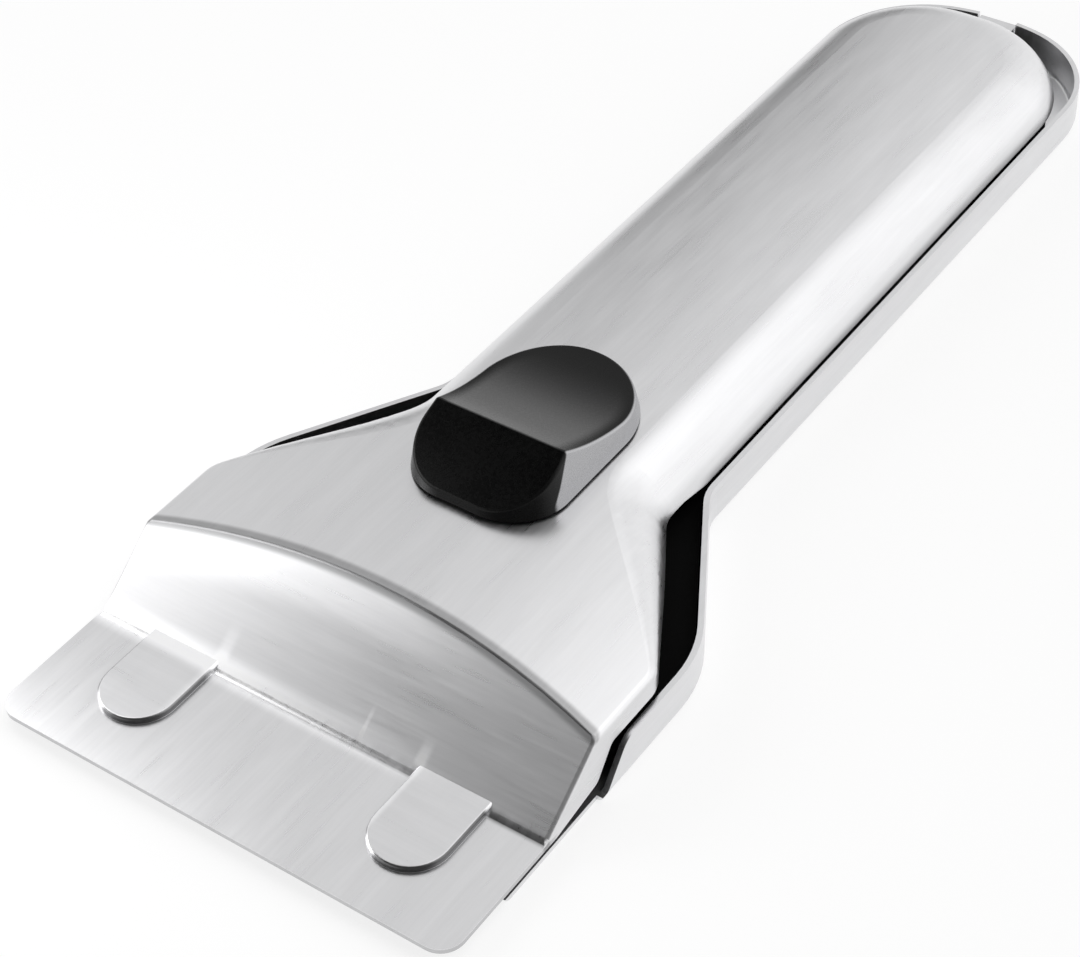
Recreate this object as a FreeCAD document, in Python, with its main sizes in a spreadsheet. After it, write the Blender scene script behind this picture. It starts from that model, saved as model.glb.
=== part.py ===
import FreeCAD, Part
import math
import os

import Sketcher
from FreeCAD import Placement, Rotation, Vector

# A ceramic hob scraper: a pressed steel lid nested in a pressed steel tray, with a blade between their
# front lips. A thumb slider on the lid pushes the blade forward, out of the gap between the lips.
#
# Frame: X runs across, Y from the front lip (-Y) to the handle's end (+Y), Z up. The underside of the
# tray is Z = 0, and X = 0, Y = 0 is the middle of the whole length. Sizes are in millimetres. Every
# size that ends in _from_front is measured from the lid's front edge, towards the handle's end.

DRIVING_SIZES = (
    ("Whole object", (
        ("overall_length", 154.6, "front edge of the lid to the end of the tray"),
        ("gauge", 0.6, "thickness of the two pressed shells"),
        ("travel", 6.5, "how far the thumb slider pushes the blade"),
        ("glide", 0.1, "gap above and below what slides between the lips"),
        ("side_play", 0.2, "gap beside what slides in the frame"),
    )),
    ("Upper shell", (
        ("lid_top", 10.75, "height of the crown along the middle"),
        ("crown_radius", 148.0, "radius of the crown across the lid"),
        ("lip_top", 2.0, "height of the front lip's upper face"),
        ("lip_corner_radius", 2.5, "front corners of the lip"),
        ("lid_head_width", 55.0, "width of the head and its lip"),
        ("lid_handle_width", 31.8, "width of the handle part"),
        ("lid_flare_from_front", 33.4, "where the head begins to narrow"),
        ("lid_neck_from_front", 53.2, "where the handle's width is reached"),
        ("lid_end_from_front", 149.5, "rear end of the lid"),
        ("lid_end_radius", 14.5, "rounding of the rear end in plan"),
        ("lid_flare_radius", 4.0, "outer corner where the flare begins"),
        ("lid_neck_radius", 4.5, "inner corner where the flare ends"),
        ("head_shoulder", 0.8, "edge rounding along the head"),
        ("handle_shoulder", 6.8, "edge rounding along the handle"),
        ("fold_from_front", 14.98, "line where the lip turns up into the sloped face"),
        ("slope_run", 8.31, "length of the sloped face in plan, for slope_rise"),
        ("slope_rise", 6.28, "height that the sloped face climbs in slope_run"),
        ("slope_hollow_radius", 150.0, "hollow of the sloped face from front to back"),
        ("slope_overrun", 1.0, "how far that hollow is drawn on above the crown"),
        ("fold_radius", 1.6, "inside bend at the fold line"),
        ("crest_radius", 0.5, "edge between the sloped face and the top"),
        ("lid_rim", 5.1, "height of the lid's lower edge along the handle"),
        ("lid_head_rim", 5.7, "height of its lower edge round the head"),
        ("lid_rim_fall_from_front", 56.5, "where the lower edge begins to fall to the handle's"),
        ("lid_rim_fall_length", 4.0, "length of that fall"),
        ("lid_edge_rise_from_front", 16.5, "where the lower edge leaves the lip's underside"),
        ("lid_step_from_front", 24.5, "middle of the step in the lid's lower edge"),
        ("lid_step_length", 2.6, "length of that step"),
        ("lid_step_low", 2.5, "height of the lower edge at the foot of the step"),
        ("lid_step_radius", 1.1, "roundings of the step"),
    )),
    ("Raised channels in the lip", (
        ("channel_width", 8.6, "outer width of each channel"),
        ("channel_spacing", 33.2, "between the middles of the two channels"),
        ("channel_from_front", 5.0, "closed front end of each channel"),
        ("channel_length", 11.4, "from the closed end into the sloped face"),
        ("channel_rise", 0.65, "height above the lip"),
        ("channel_edge_radius", 0.3, "rounding of the raised edge"),
    )),
    ("Slot for the thumb button", (
        ("slot_width", 6.0, "width of the slot in the lid"),
        ("slot_front_from_front", 41.9, "front end of the slot"),
        ("slot_rear_from_front", 57.2, "rear end of the slot"),
        ("slot_corner_radius", 1.0, "corners of the slot"),
    )),
    ("Lower shell", (
        ("tray_rim", 5.0, "height of the tray's walls"),
        ("tray_head_width", 56.2, "width at the head"),
        ("tray_handle_width", 33.3, "width along the handle"),
        ("tray_flare_from_front", 40.3, "where the head begins to narrow"),
        ("tray_neck_from_front", 59.6, "where the handle's width is reached"),
        ("tray_flare_radius", 14.0, "outer corner where the flare begins"),
        ("tray_neck_radius", 5.0, "inner corner where the flare ends"),
        ("tray_end_radius", 26.0, "flat curve of the rear end in plan"),
        ("tray_end_corner", 14.2, "corners of the rear end in plan"),
        ("tray_bend", 1.0, "outside bend between floor and walls"),
        ("tray_lip_from_front", 8.6, "front edge of the tray's lip"),
        ("tray_lip_width", 54.6, "width of the tray's lip"),
        ("tray_step_foot_from_front", 23.8, "foot of the step in the wall"),
        ("tray_step_head_from_front", 27.5, "head of the step in the wall"),
        ("tray_step_radius", 2.6, "rounding at the head of the step"),
    )),
    ("Tongue that hooks the lid to the tray", (
        ("tongue_width", 5.0, "width of the strip"),
        ("tongue_gauge", 0.6, "thickness of the strip"),
        ("tongue_foot_from_front", 140.5, "front end of the strip under the lid"),
        ("tongue_bend_from_front", 147.0, "where the strip turns to the rear"),
        ("tongue_fall", 3.1, "length over which the strip comes down"),
        ("tongue_high_bend", 2.4, "inside of its bend under the lid"),
        ("tongue_low_bend", 0.8, "inside of its bend above the tray"),
        ("tongue_gap", 0.04, "gap between the lid and the strip"),
        ("tongue_height", 3.9, "underside of the part that reaches into the rim"),
        ("notch_gap", 0.15, "gap round the strip in the tray's rim"),
    )),
    ("Guide frame", (
        ("frame_front_from_front", 35.6, "front of the full width"),
        ("frame_arm_from_front", 26.4, "front of the two side arms"),
        ("frame_arm_width", 3.6, "width of each side arm"),
        ("frame_rear_from_front", 76.5, "rear of the frame"),
        ("frame_top", 3.6, "height of its deck"),
        ("frame_gap", 0.25, "gap to the tray's wall"),
        ("frame_corner", 2.0, "its corners in plan"),
        ("frame_chamfer", 0.5, "chamfer that clears the tray's bend"),
        ("channel_floor_width", 23.6, "width between the rails"),
        ("channel_end_from_front", 66.0, "rear end of the way between the rails"),
        ("rail_front_from_front", 40.0, "front end of the rails"),
        ("rail_thickness", 1.6, "thickness of each rail"),
        ("rail_top", 7.2, "height of the rails"),
        ("boss_radius", 3.4, "screw bosses"),
        ("boss_top", 5.6, "height of the screw bosses"),
        ("notch_depth", 0.8, "depth of the click notches in the rails"),
        ("notch_reach", 1.3, "half the length of a click notch"),
    )),
    ("Screws between the shells", (
        ("neck_screw_spacing", 17.0, "between the two screws behind the neck"),
        ("neck_screw_from_front", 71.0, "the two screws behind the neck"),
        ("rear_screw_from_front", 131.0, "the one screw near the handle's end"),
        ("screw_radius", 1.2, "shank"),
        ("screw_head_radius", 2.3, "countersunk head"),
        ("screw_tip", 8.9, "height of the screw's tip"),
        ("screw_recess", 0.6, "depth and width of the cross in the head"),
        ("bush_radius", 2.4, "threaded bushes under the lid"),
        ("bush_foot", 5.7, "lower face of the bushes"),
        ("bore_gap", 0.05, "gap round a shank or pin in its hole"),
    )),
    ("Spacer in the handle", (
        ("spacer_front_from_front", 122.0, "front of the spacer"),
        ("spacer_rear_from_front", 139.0, "rear of the spacer"),
        ("spacer_width", 29.0, "width of the spacer"),
        ("spacer_wall", 1.6, "its walls and ribs"),
        ("spacer_core", 3.8, "half the width of its solid middle"),
        ("spacer_roof", 2.6, "its roof under the middle of the lid"),
    )),
    ("Blade and its holder", (
        ("blade_edge_from_front", 2.5, "cutting edge, blade drawn in"),
        ("blade_width", 50.0, "width of the blade"),
        ("blade_depth", 22.0, "from cutting edge to back"),
        ("blade_gauge", 0.25, "thickness of the blade"),
        ("bevel", 1.0, "width of the ground edge"),
        ("blade_land", 0.03, "thickness left at the cutting edge"),
        ("stud_from_front", 15.8, "the two studs, blade drawn in"),
        ("stud_radius", 2.4, "stud's neck in the blade"),
        ("stud_head_radius", 3.0, "stud's head over the blade"),
        ("stud_tail_radius", 1.5, "stud's tail in the holder"),
        ("stud_head_height", 0.45, "thickness of the head"),
        ("stud_head_edge", 0.2, "chamfer round the head"),
        ("stud_play", 0.03, "gap between the blade and the head"),
        ("keyhole_radius", 3.25, "wide end of the blade's keyholes"),
        ("keyhole_shift", 4.5, "from the stud to the wide end"),
        ("holder_gauge", 0.4, "thickness of the blade holder"),
        ("holder_front_from_front", 10.8, "front of the holder"),
        ("holder_head_width", 43.0, "width under the blade"),
        ("holder_head_from_front", 26.5, "rear of the wide part"),
        ("holder_taper_from_front", 34.5, "where the narrow part begins"),
        ("holder_tail_width", 19.0, "width under the carriage"),
        ("holder_tail_from_front", 61.0, "rear end of the holder"),
        ("holder_front_corner", 2.0, "its front corners"),
        ("holder_taper_corner", 3.0, "corners where it narrows"),
        ("holder_tail_corner", 1.5, "its rear corners"),
        ("rivet_spacing", 12.0, "between the rivets of holder and carriage"),
        ("rivet_from_front", 47.0, "rivets of holder and carriage"),
        ("rivet_radius", 1.0, "shank of those rivets"),
        ("rivet_head_radius", 1.6, "their sunk heads"),
        ("rivet_top", 5.0, "height of their tips"),
    )),
    ("Carriage and its spring", (
        ("carriage_front_from_front", 43.0, "front of the carriage"),
        ("carriage_rear_from_front", 62.0, "rear of the carriage"),
        ("carriage_top", 8.6, "height of the carriage"),
        ("carriage_nose", 3.0, "slant of its front"),
        ("carriage_corner", 0.8, "its upright edges"),
        ("recess_from_front", 54.6, "front of the spring's side recesses"),
        ("recess_depth", 2.6, "depth of those recesses"),
        ("spring_gauge", 0.3, "thickness of the leaf"),
        ("spring_low", 3.0, "lower edge of the leaf"),
        ("spring_high", 6.0, "upper edge of the leaf"),
        ("spring_room", 0.3, "room above and below the leaf"),
        ("spring_corner", 0.7, "inside of the leaf's two bends"),
        ("spring_arm_width", 20.2, "across the arms of the leaf"),
        ("spring_tip_from_front", 55.6, "front ends of the arms"),
        ("spring_click_from_front", 58.0, "crest of each click"),
        ("spring_click_reach", 1.2, "half the length of a click"),
        ("spring_click_width", 24.8, "across the two crests"),
        ("pin_spacing", 8.0, "between the leaf's two pins"),
        ("pin_radius", 0.9, "shank of a pin"),
        ("pin_head_radius", 1.5, "head of a pin"),
        ("pin_head", 0.5, "thickness of a pin's head"),
        ("pin_length", 3.0, "depth of a pin in the carriage"),
    )),
    ("Thumb button", (
        ("button_width", 18.1, "width at the base"),
        ("button_front_from_front", 39.2, "front of the base"),
        ("button_rear_from_front", 64.9, "rear of the base"),
        ("button_front_corner", 6.6, "front corners of the base"),
        ("button_rear_corner", 8.9, "rear corners of the base"),
        ("button_draft", 11.0, "lean of the walls, in degrees"),
        ("button_gap", 0.3, "gap between button and lid"),
        ("button_base", 10.45, "height where the walls begin"),
        ("ridge_height", 15.85, "height of the thumb ridge"),
        ("ridge_from_front", 47.35, "place of the thumb ridge"),
        ("facet_foot_from_front", 39.4, "foot of the front facet"),
        ("facet_foot_height", 11.9, "height of that foot"),
        ("ramp_end_from_front", 65.2, "rear end of the thumb ramp"),
        ("ramp_end_height", 13.4, "height of the ramp's rear end"),
        ("ramp_radius", 27.5, "hollow of the thumb ramp"),
        ("ridge_radius", 0.4, "rounding of the ridge"),
        ("button_edge", 0.35, "rounding of the other edges"),
        ("stem_width", 5.4, "stem in the slot, across"),
        ("stem_length", 8.0, "stem in the slot, along"),
        ("stem_from_front", 52.8, "middle of the stem"),
        ("stem_foot", 5.6, "lower end of the stem"),
        ("stem_screw_radius", 1.1, "screw in the stem"),
        ("stem_screw_head_radius", 1.9, "its sunk head"),
        ("stem_screw_tip", 10.4, "height of its tip"),
    )),
)

SHEET = "Sizes"

doc = FreeCAD.newDocument("hob_scraper")


# ---- sizes ---------------------------------------------------------------------------------------

class Size:
    """A size from the sheet, or one worked out from such sizes, with its expression and its value."""

    def __init__(self, text, value):
        self.text = text
        self.value = value

    def __add__(self, other):
        return combined(self, "+", other, lambda a, b: a + b)

    def __radd__(self, other):
        return combined(other, "+", self, lambda a, b: a + b)

    def __sub__(self, other):
        return combined(self, "-", other, lambda a, b: a - b)

    def __rsub__(self, other):
        return combined(other, "-", self, lambda a, b: a - b)

    def __mul__(self, other):
        return combined(self, "*", other, lambda a, b: a * b)

    def __rmul__(self, other):
        return combined(other, "*", self, lambda a, b: a * b)

    def __truediv__(self, other):
        return combined(self, "/", other, lambda a, b: a / b)

    def __neg__(self):
        return combined(0, "-", self, lambda a, b: a - b)

    def root(self):
        return Size("sqrt(%s)" % self.text, math.sqrt(self.value))


def as_size(number):
    return number if isinstance(number, Size) else Size(repr(number), number)


def combined(left, sign, right, work):
    left = as_size(left)
    right = as_size(right)
    return Size("(%s %s %s)" % (left.text, sign, right.text), work(left.value, right.value))


def fill_sheet():
    """Write the driving sizes to the spreadsheet, and return them by name."""
    sheet = doc.addObject("Spreadsheet::Sheet", SHEET)
    sizes = {}
    row = 1
    for title, lines in DRIVING_SIZES:
        sheet.set("A%d" % row, title)
        row += 1
        for name, value, meaning in lines:
            sheet.set("A%d" % row, name)
            sheet.set("B%d" % row, str(value))
            sheet.set("C%d" % row, meaning)
            sheet.setAlias("B%d" % row, name)
            sizes[name] = Size("%s.%s" % (SHEET, name), value)
            row += 1
    doc.recompute()
    return sizes


class Sizes:
    """The driving sizes as attributes, such as S.gauge."""

    def __init__(self, sizes):
        self.__dict__.update(sizes)


S = Sizes(fill_sheet())
FAR = 100.0  # length of the blocks that cut right across
PAST = 5.0  # how far other cuts reach past what they cut


def at(distance):
    """Y of a place that is this far behind the lid's front edge."""
    return distance - S.overall_length / 2


def bind(thing, name, size):
    """Set a property of a feature, and tie it to the sheet."""
    size = as_size(size)
    setattr(thing, name, size.value)
    thing.setExpression(name, size.text)


# ---- sketches ------------------------------------------------------------------------------------

class Corner:
    """A corner of an outline, with the radius that rounds it, if any."""

    def __init__(self, first, second, radius=None):
        self.first = as_size(first)
        self.second = as_size(second)
        self.radius = radius

    def point(self):
        return Vector(self.first.value, self.second.value, 0)


def new_body(name):
    body = doc.addObject("PartDesign::Body", name)
    body.Label = name
    return body


def new_sketch(body, role, lift=None):
    """A sketch on one of the body's own origin planes, lifted off it if asked."""
    sketch = body.newObject("Sketcher::SketchObject", body.Name + "_sketch")
    plane = [part for part in body.Origin.OriginFeatures if part.Role == role][0]
    sketch.AttachmentSupport = [(plane, "")]
    sketch.MapMode = "FlatFace"
    if lift is not None:
        lift = as_size(lift)
        sketch.AttachmentOffset = Placement(Vector(0, 0, lift.value), Rotation())
        sketch.setExpression("AttachmentOffset.Base.z", lift.text)
    return sketch


def constrain(sketch, size, *words):
    """Add a dimension to a sketch, and tie it to the sheet."""
    size = as_size(size)
    index = sketch.addConstraint(Sketcher.Constraint(*words, size.value))
    sketch.setExpression("Constraints[%d]" % index, size.text)


def place_point(sketch, geometry, end, corner):
    constrain(sketch, corner.first, "DistanceX", -1, 1, geometry, end)
    constrain(sketch, corner.second, "DistanceY", -1, 1, geometry, end)


def arc_between(start, finish, middle):
    """An arc of a circle that turns left from start to finish about middle."""
    first = math.atan2(start.y - middle.y, start.x - middle.x)
    last = math.atan2(finish.y - middle.y, finish.x - middle.x)
    if last < first:
        last += 2 * math.pi
    circle = Part.Circle(middle, Vector(0, 0, 1), (start - middle).Length)
    return Part.ArcOfCircle(circle, first, last)


def turns_left(before, here, after):
    return (here - before).cross(after - here).z > 0


def corner_arc(before, here, after, radius):
    """Where a rounded corner starts and ends, and the middle of its arc."""
    back = (before - here).normalize()
    onward = (after - here).normalize()
    half = back.getAngle(onward) / 2
    start = here + back * (radius / math.tan(half))
    finish = here + onward * (radius / math.tan(half))
    middle = here + (back + onward).normalize() * (radius / math.sin(half))
    return start, finish, middle


def bulge_middle(start, finish, radius, left):
    """The middle of an arc of this radius from start to finish, on the left or right of the way."""
    along = finish - start
    side = Vector(-along.y, along.x, 0).normalize()
    rise = math.sqrt(radius ** 2 - along.Length ** 2 / 4)
    return (start + finish) * 0.5 + side * (rise if left else -rise)


def draw(sketch, corners, bulges=None):
    """Draw a closed outline whose dimensions come from the sheet.

    corners run round the outline. bulges gives, for the side that leaves a corner, the radius of an
    arc in place of a straight line, and whether its middle lies to the left of the way.
    """
    bulges = bulges or {}
    count = len(corners)
    points = [corner.point() for corner in corners]
    starts = list(points)
    finishes = list(points)
    arcs = {}
    for i, corner in enumerate(corners):
        if corner.radius is None:
            continue
        before = points[i - 1]
        after = points[(i + 1) % count]
        radius = as_size(corner.radius).value
        finishes[i], starts[i], middle = corner_arc(before, points[i], after, radius)
        left = turns_left(before, points[i], after)
        ends = (finishes[i], starts[i]) if left else (starts[i], finishes[i])
        arcs[i] = (sketch.addGeometry(arc_between(ends[0], ends[1], middle)), left)

    sides = []
    for i in range(count):
        start = starts[i]
        finish = finishes[(i + 1) % count]
        if i in bulges:
            radius, left = bulges[i]
            radius = as_size(radius)
            middle = bulge_middle(start, finish, radius.value, left)
            ends = (start, finish) if left else (finish, start)
            geometry = sketch.addGeometry(arc_between(ends[0], ends[1], middle))
            constrain(sketch, radius, "Radius", geometry)
            sides.append((geometry, 1 if left else 2, 2 if left else 1))
        else:
            sides.append((sketch.addGeometry(Part.LineSegment(start, finish)), 1, 2))

    for i, corner in enumerate(corners):
        arriving, _, arrival = sides[i - 1]
        leaving, departure, _ = sides[i]
        if i in arcs:
            arc, left = arcs[i]
            first, last = (1, 2) if left else (2, 1)
            sketch.addConstraint(Sketcher.Constraint("Tangent", arriving, arrival, arc, first))
            sketch.addConstraint(Sketcher.Constraint("Tangent", arc, last, leaving, departure))
            constrain(sketch, corner.radius, "Radius", arc)
            mark = sketch.addGeometry(Part.Point(corner.point()), True)
            place_point(sketch, mark, 1, corner)
            sketch.addConstraint(Sketcher.Constraint("PointOnObject", mark, 1, arriving))
            sketch.addConstraint(Sketcher.Constraint("PointOnObject", mark, 1, leaving))
        else:
            sketch.addConstraint(
                Sketcher.Constraint("Coincident", arriving, arrival, leaving, departure))
            place_point(sketch, leaving, departure, corner)
    return sketch


def draw_box(sketch, left, right, low, high, radius=None):
    """A rectangle, with rounded corners if a radius is given."""
    return draw(sketch, [
        Corner(left, low, radius), Corner(right, low, radius),
        Corner(right, high, radius), Corner(left, high, radius)])


def draw_circles(sketch, spots, radius):
    """Circles of one radius about the given (first, second) places."""
    for first, second in spots:
        corner = Corner(first, second)
        geometry = sketch.addGeometry(
            Part.Circle(corner.point(), Vector(0, 0, 1), as_size(radius).value))
        constrain(sketch, radius, "Radius", geometry)
        place_point(sketch, geometry, 3, corner)
    return sketch


# ---- features ------------------------------------------------------------------------------------

def checked(feature):
    """Recompute, and stop if the feature failed."""
    doc.recompute()
    if "Invalid" in feature.State or "Error" in feature.State or feature.Shape.isNull():
        raise RuntimeError("%s failed: %s" % (feature.Name, feature.State))
    return feature


def pad(body, sketch, length, both_ways=False, draft=None):
    """Raise a sketch, or spread it to both sides of its plane."""
    feature = body.newObject("PartDesign::Pad", body.Name + "_pad")
    feature.Profile = sketch
    if both_ways:
        feature.SideType = "Symmetric"
    bind(feature, "Length", length)
    if draft is not None:
        bind(feature, "TaperAngle", -as_size(draft))
    sketch.Visibility = False
    return checked(feature)


def pocket(body, sketch, depth=None, along_normal=False):
    """Cut a sketch out of the body: right through both ways, or to a depth on one side of it."""
    before = body.Shape.Volume
    feature = body.newObject("PartDesign::Pocket", body.Name + "_pocket")
    feature.Profile = sketch
    if depth is None:
        feature.SideType = "Symmetric"
        feature.Type = "ThroughAll"
    else:
        feature.Reversed = along_normal
        bind(feature, "Length", depth)
    sketch.Visibility = False
    checked(feature)
    if feature.Shape.Volume >= before:
        raise RuntimeError("%s cuts nothing" % feature.Name)
    return feature


def rounded(body, feature, radius, wanted):
    """Fillet the edges of a body's feature that pass a test."""
    names = edge_names(feature.Shape, wanted)
    fillet = body.newObject("PartDesign::Fillet", body.Name + "_fillet")
    fillet.Base = (feature, names)
    bind(fillet, "Radius", radius)
    return checked(fillet)


def bevelled(body, feature, size, wanted):
    """Chamfer the edges of a body's feature that pass a test."""
    chamfer = body.newObject("PartDesign::Chamfer", body.Name + "_chamfer")
    chamfer.Base = (feature, edge_names(feature.Shape, wanted))
    bind(chamfer, "Size", size)
    return checked(chamfer)


def edge_names(shape, wanted):
    names = ["Edge%d" % (i + 1) for i, edge in enumerate(shape.Edges) if wanted(edge)]
    if not names:
        raise RuntimeError("no edge fits")
    return names


def joined(kind, name, base, tool):
    """A Part::Cut, Part::Common or Part::Fuse of two objects."""
    feature = doc.addObject("Part::" + kind, name)
    feature.Label = name
    feature.Base = base
    feature.Tool = tool
    return checked(feature)


def cut(name, base, tool):
    return joined("Cut", name, base, tool)


def shared(name, base, tool):
    return joined("Common", name, base, tool)


def fused(name, base, tool):
    return joined("Fuse", name, base, tool)


def ends_of(edge):
    """The two end points of an edge."""
    return edge.valueAt(edge.FirstParameter), edge.valueAt(edge.LastParameter)


def is_upright(edge):
    first, last = ends_of(edge)
    return abs(first.x - last.x) < 1e-4 and abs(first.y - last.y) < 1e-4


def stands_at(spots, reach=0.2):
    """A test for upright edges at one of the given (x, y) places, on either side of the middle."""
    places = [(as_size(x).value, as_size(y).value) for x, y in spots]

    def test(edge):
        if not is_upright(edge):
            return False
        foot = ends_of(edge)[0]
        return any(abs(abs(foot.x) - x) < reach and abs(foot.y - y) < reach for x, y in places)

    return test


def lies_at_height(height, reach=1e-3):
    """A test for edges that lie at one height all along."""
    level = as_size(height).value

    def test(edge):
        box = edge.BoundBox
        return abs(box.ZMin - level) < reach and abs(box.ZMax - level) < reach

    return test


# ---- outlines shared by the shells and what lies in them -----------------------------------------

def slant_shift(head, neck, flare, narrow):
    """How far the flare's corners move forward for each millimetre of inset."""
    inward = (head - neck) / 2
    onward = narrow - flare
    return ((inward * inward + onward * onward).root() - onward) / inward


def lid_shift():
    return slant_shift(S.lid_head_width, S.lid_handle_width,
                       S.lid_flare_from_front, S.lid_neck_from_front)


def tray_shift():
    return slant_shift(S.tray_head_width, S.tray_handle_width,
                       S.tray_flare_from_front, S.tray_neck_from_front)


def mirrored(half):
    """A closed outline from the corners of its right half, front to rear."""
    other = [Corner(-corner.first, corner.second, corner.radius) for corner in reversed(half)]
    return half + other


# ---- upper shell ---------------------------------------------------------------------------------

def lid_form(name, inset, front_from_front):
    """The lid as a full block, drawn in by an inset: the outside, or the hollow under the sheet."""
    shift = lid_shift() * inset
    head = S.lid_head_width / 2 - inset
    handle = S.lid_handle_width / 2 - inset
    body = new_body(name + "_block")
    outline = draw(new_sketch(body, "XY_Plane"), mirrored([
        Corner(head, at(front_from_front)),
        Corner(head, at(S.lid_flare_from_front - shift), S.lid_flare_radius - inset),
        Corner(handle, at(S.lid_neck_from_front - shift), S.lid_neck_radius + inset),
        Corner(handle, at(S.lid_end_from_front - inset), S.lid_end_radius - inset),
    ]))
    pad(body, outline, S.lid_top + PAST)

    radius = S.crown_radius - inset
    reach = S.lid_head_width / 2 + PAST
    middle = S.lid_top - S.crown_radius
    edge = middle + (radius * radius - reach * reach).root()
    crown = draw(new_sketch(body, "XZ_Plane"), [
        Corner(-reach, S.lid_top + PAST * 2), Corner(-reach, edge),
        Corner(reach, edge), Corner(reach, S.lid_top + PAST * 2),
    ], {1: (radius, False)})
    top = pocket(body, crown)

    softened = doc.addObject("Part::Fillet", name + "_shoulders")
    softened.Base = body
    softened.Edges = shoulder_edges(top.Shape, radius, inset)
    checked(softened)
    return cut(name, softened, scoop(name + "_scoop", inset))


def shoulder_edges(shape, crown_radius, inset):
    """The crown's edges behind the front, each with the rounding at its two ends."""
    front = at(S.fold_from_front).value
    flare = at(S.lid_flare_from_front).value
    neck = at(S.lid_neck_from_front).value
    at_head = (S.head_shoulder - inset).value
    at_handle = (S.handle_shoulder - inset).value

    def rounding(y):
        share = min(1.0, max(0.0, (y - flare) / (neck - flare)))
        return at_head + share * (at_handle - at_head)

    crown = [face for face in shape.Faces
             if isinstance(face.Surface, Part.Cylinder)
             and abs(face.Surface.Radius - crown_radius.value) < 1e-3][0]
    chosen = []
    for i, edge in enumerate(shape.Edges):
        first, last = ends_of(edge)
        on_crown = any(edge.isSame(other) for other in crown.Edges)
        if on_crown and max(first.y, last.y) > front:
            chosen.append((i + 1, rounding(first.y), rounding(last.y)))
    return sorted(chosen, key=lambda edge: edge[1] == edge[2])


def scoop(name, inset):
    """What is cut away over the lip and in front of the sloped face."""
    slope_length = (S.slope_run * S.slope_run + S.slope_rise * S.slope_rise).root()
    half_turn = (slope_length - S.slope_run) / S.slope_rise
    fold = at(S.fold_from_front + half_turn * inset)
    lip = S.lip_top - inset
    climb = S.lid_top + S.slope_overrun - S.lip_top
    body = new_body(name)
    side = draw(new_sketch(body, "YZ_Plane"), [
        Corner(at(-PAST), lip), Corner(fold, lip),
        Corner(fold + S.slope_run * climb / S.slope_rise, lip + climb),
        Corner(fold + S.slope_run * climb / S.slope_rise, lip + climb + PAST),
        Corner(at(-PAST), lip + climb + PAST),
    ], {1: (S.slope_hollow_radius, True)})
    pad(body, side, FAR, both_ways=True)
    return body


def under_lid_rim():
    """What is cut away below the lid's lower edge, which steps down beside the sloped face."""
    step = S.lid_step_length / 2
    lip_underside = S.lip_top - S.gauge
    body = new_body("under_lid_rim")
    side = draw(new_sketch(body, "YZ_Plane"), [
        Corner(at(-PAST), -PAST),
        Corner(at(S.overall_length + PAST), -PAST),
        Corner(at(S.overall_length + PAST), S.lid_rim),
        Corner(at(S.lid_rim_fall_from_front + S.lid_rim_fall_length), S.lid_rim),
        Corner(at(S.lid_rim_fall_from_front), S.lid_head_rim),
        Corner(at(S.lid_step_from_front + step), S.lid_head_rim, S.lid_step_radius),
        Corner(at(S.lid_step_from_front - step), S.lid_step_low, S.lid_step_radius),
        Corner(at(S.lid_edge_rise_from_front), lip_underside),
        Corner(at(-PAST), lip_underside),
    ])
    pad(body, side, FAR, both_ways=True)
    return body


def channel_blocks(name, inset, low, high, length):
    """Two round-nosed blocks along the lip: the raised channels, or the room inside them."""
    body = new_body(name)
    half = S.channel_width / 2 - inset
    nose = half * 0.99
    front = S.channel_from_front + inset
    sketch = new_sketch(body, "XY_Plane", low)
    for side in (-1, 1):
        middle = S.channel_spacing / 2 * side
        draw(sketch, [
            Corner(middle - half, at(front), nose),
            Corner(middle + half, at(front), nose),
            Corner(middle + half, at(front + length)),
            Corner(middle - half, at(front + length)),
        ])
    pad(body, sketch, high - low)
    return body


def make_upper_shell(hollow):
    """The pressed lid: lip, sloped face, crowned head and handle, channels and slot."""
    outside = lid_form("lid_outside", as_size(0.0), as_size(0.0))
    creased = soften_slope(outside)
    raised = channel_blocks("channel_tops", as_size(0.0), S.lip_top - S.gauge / 2,
                            S.lip_top + S.channel_rise, S.channel_length)
    rounded(raised, raised.Tip, S.channel_edge_radius, lies_at_height(S.lip_top + S.channel_rise))
    solid = fused("lid_with_channels", creased, raised)
    sheet = cut("lid_sheet", solid, hollow)
    trimmed = cut("lid_trimmed", sheet, under_lid_rim())
    room = channel_blocks("channel_room", S.gauge, as_size(0.0),
                          S.lip_top - S.gauge + S.channel_rise, S.channel_length)
    relieved = cut("lid_relieved", trimmed, room)

    slot = new_body("lid_slot")
    outline = draw_box(new_sketch(slot, "XY_Plane", S.lid_rim), -S.slot_width / 2, S.slot_width / 2,
                       at(S.slot_front_from_front), at(S.slot_rear_from_front), S.slot_corner_radius)
    pad(slot, outline, S.lid_top)
    return cut("upper_shell", relieved, slot)


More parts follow.
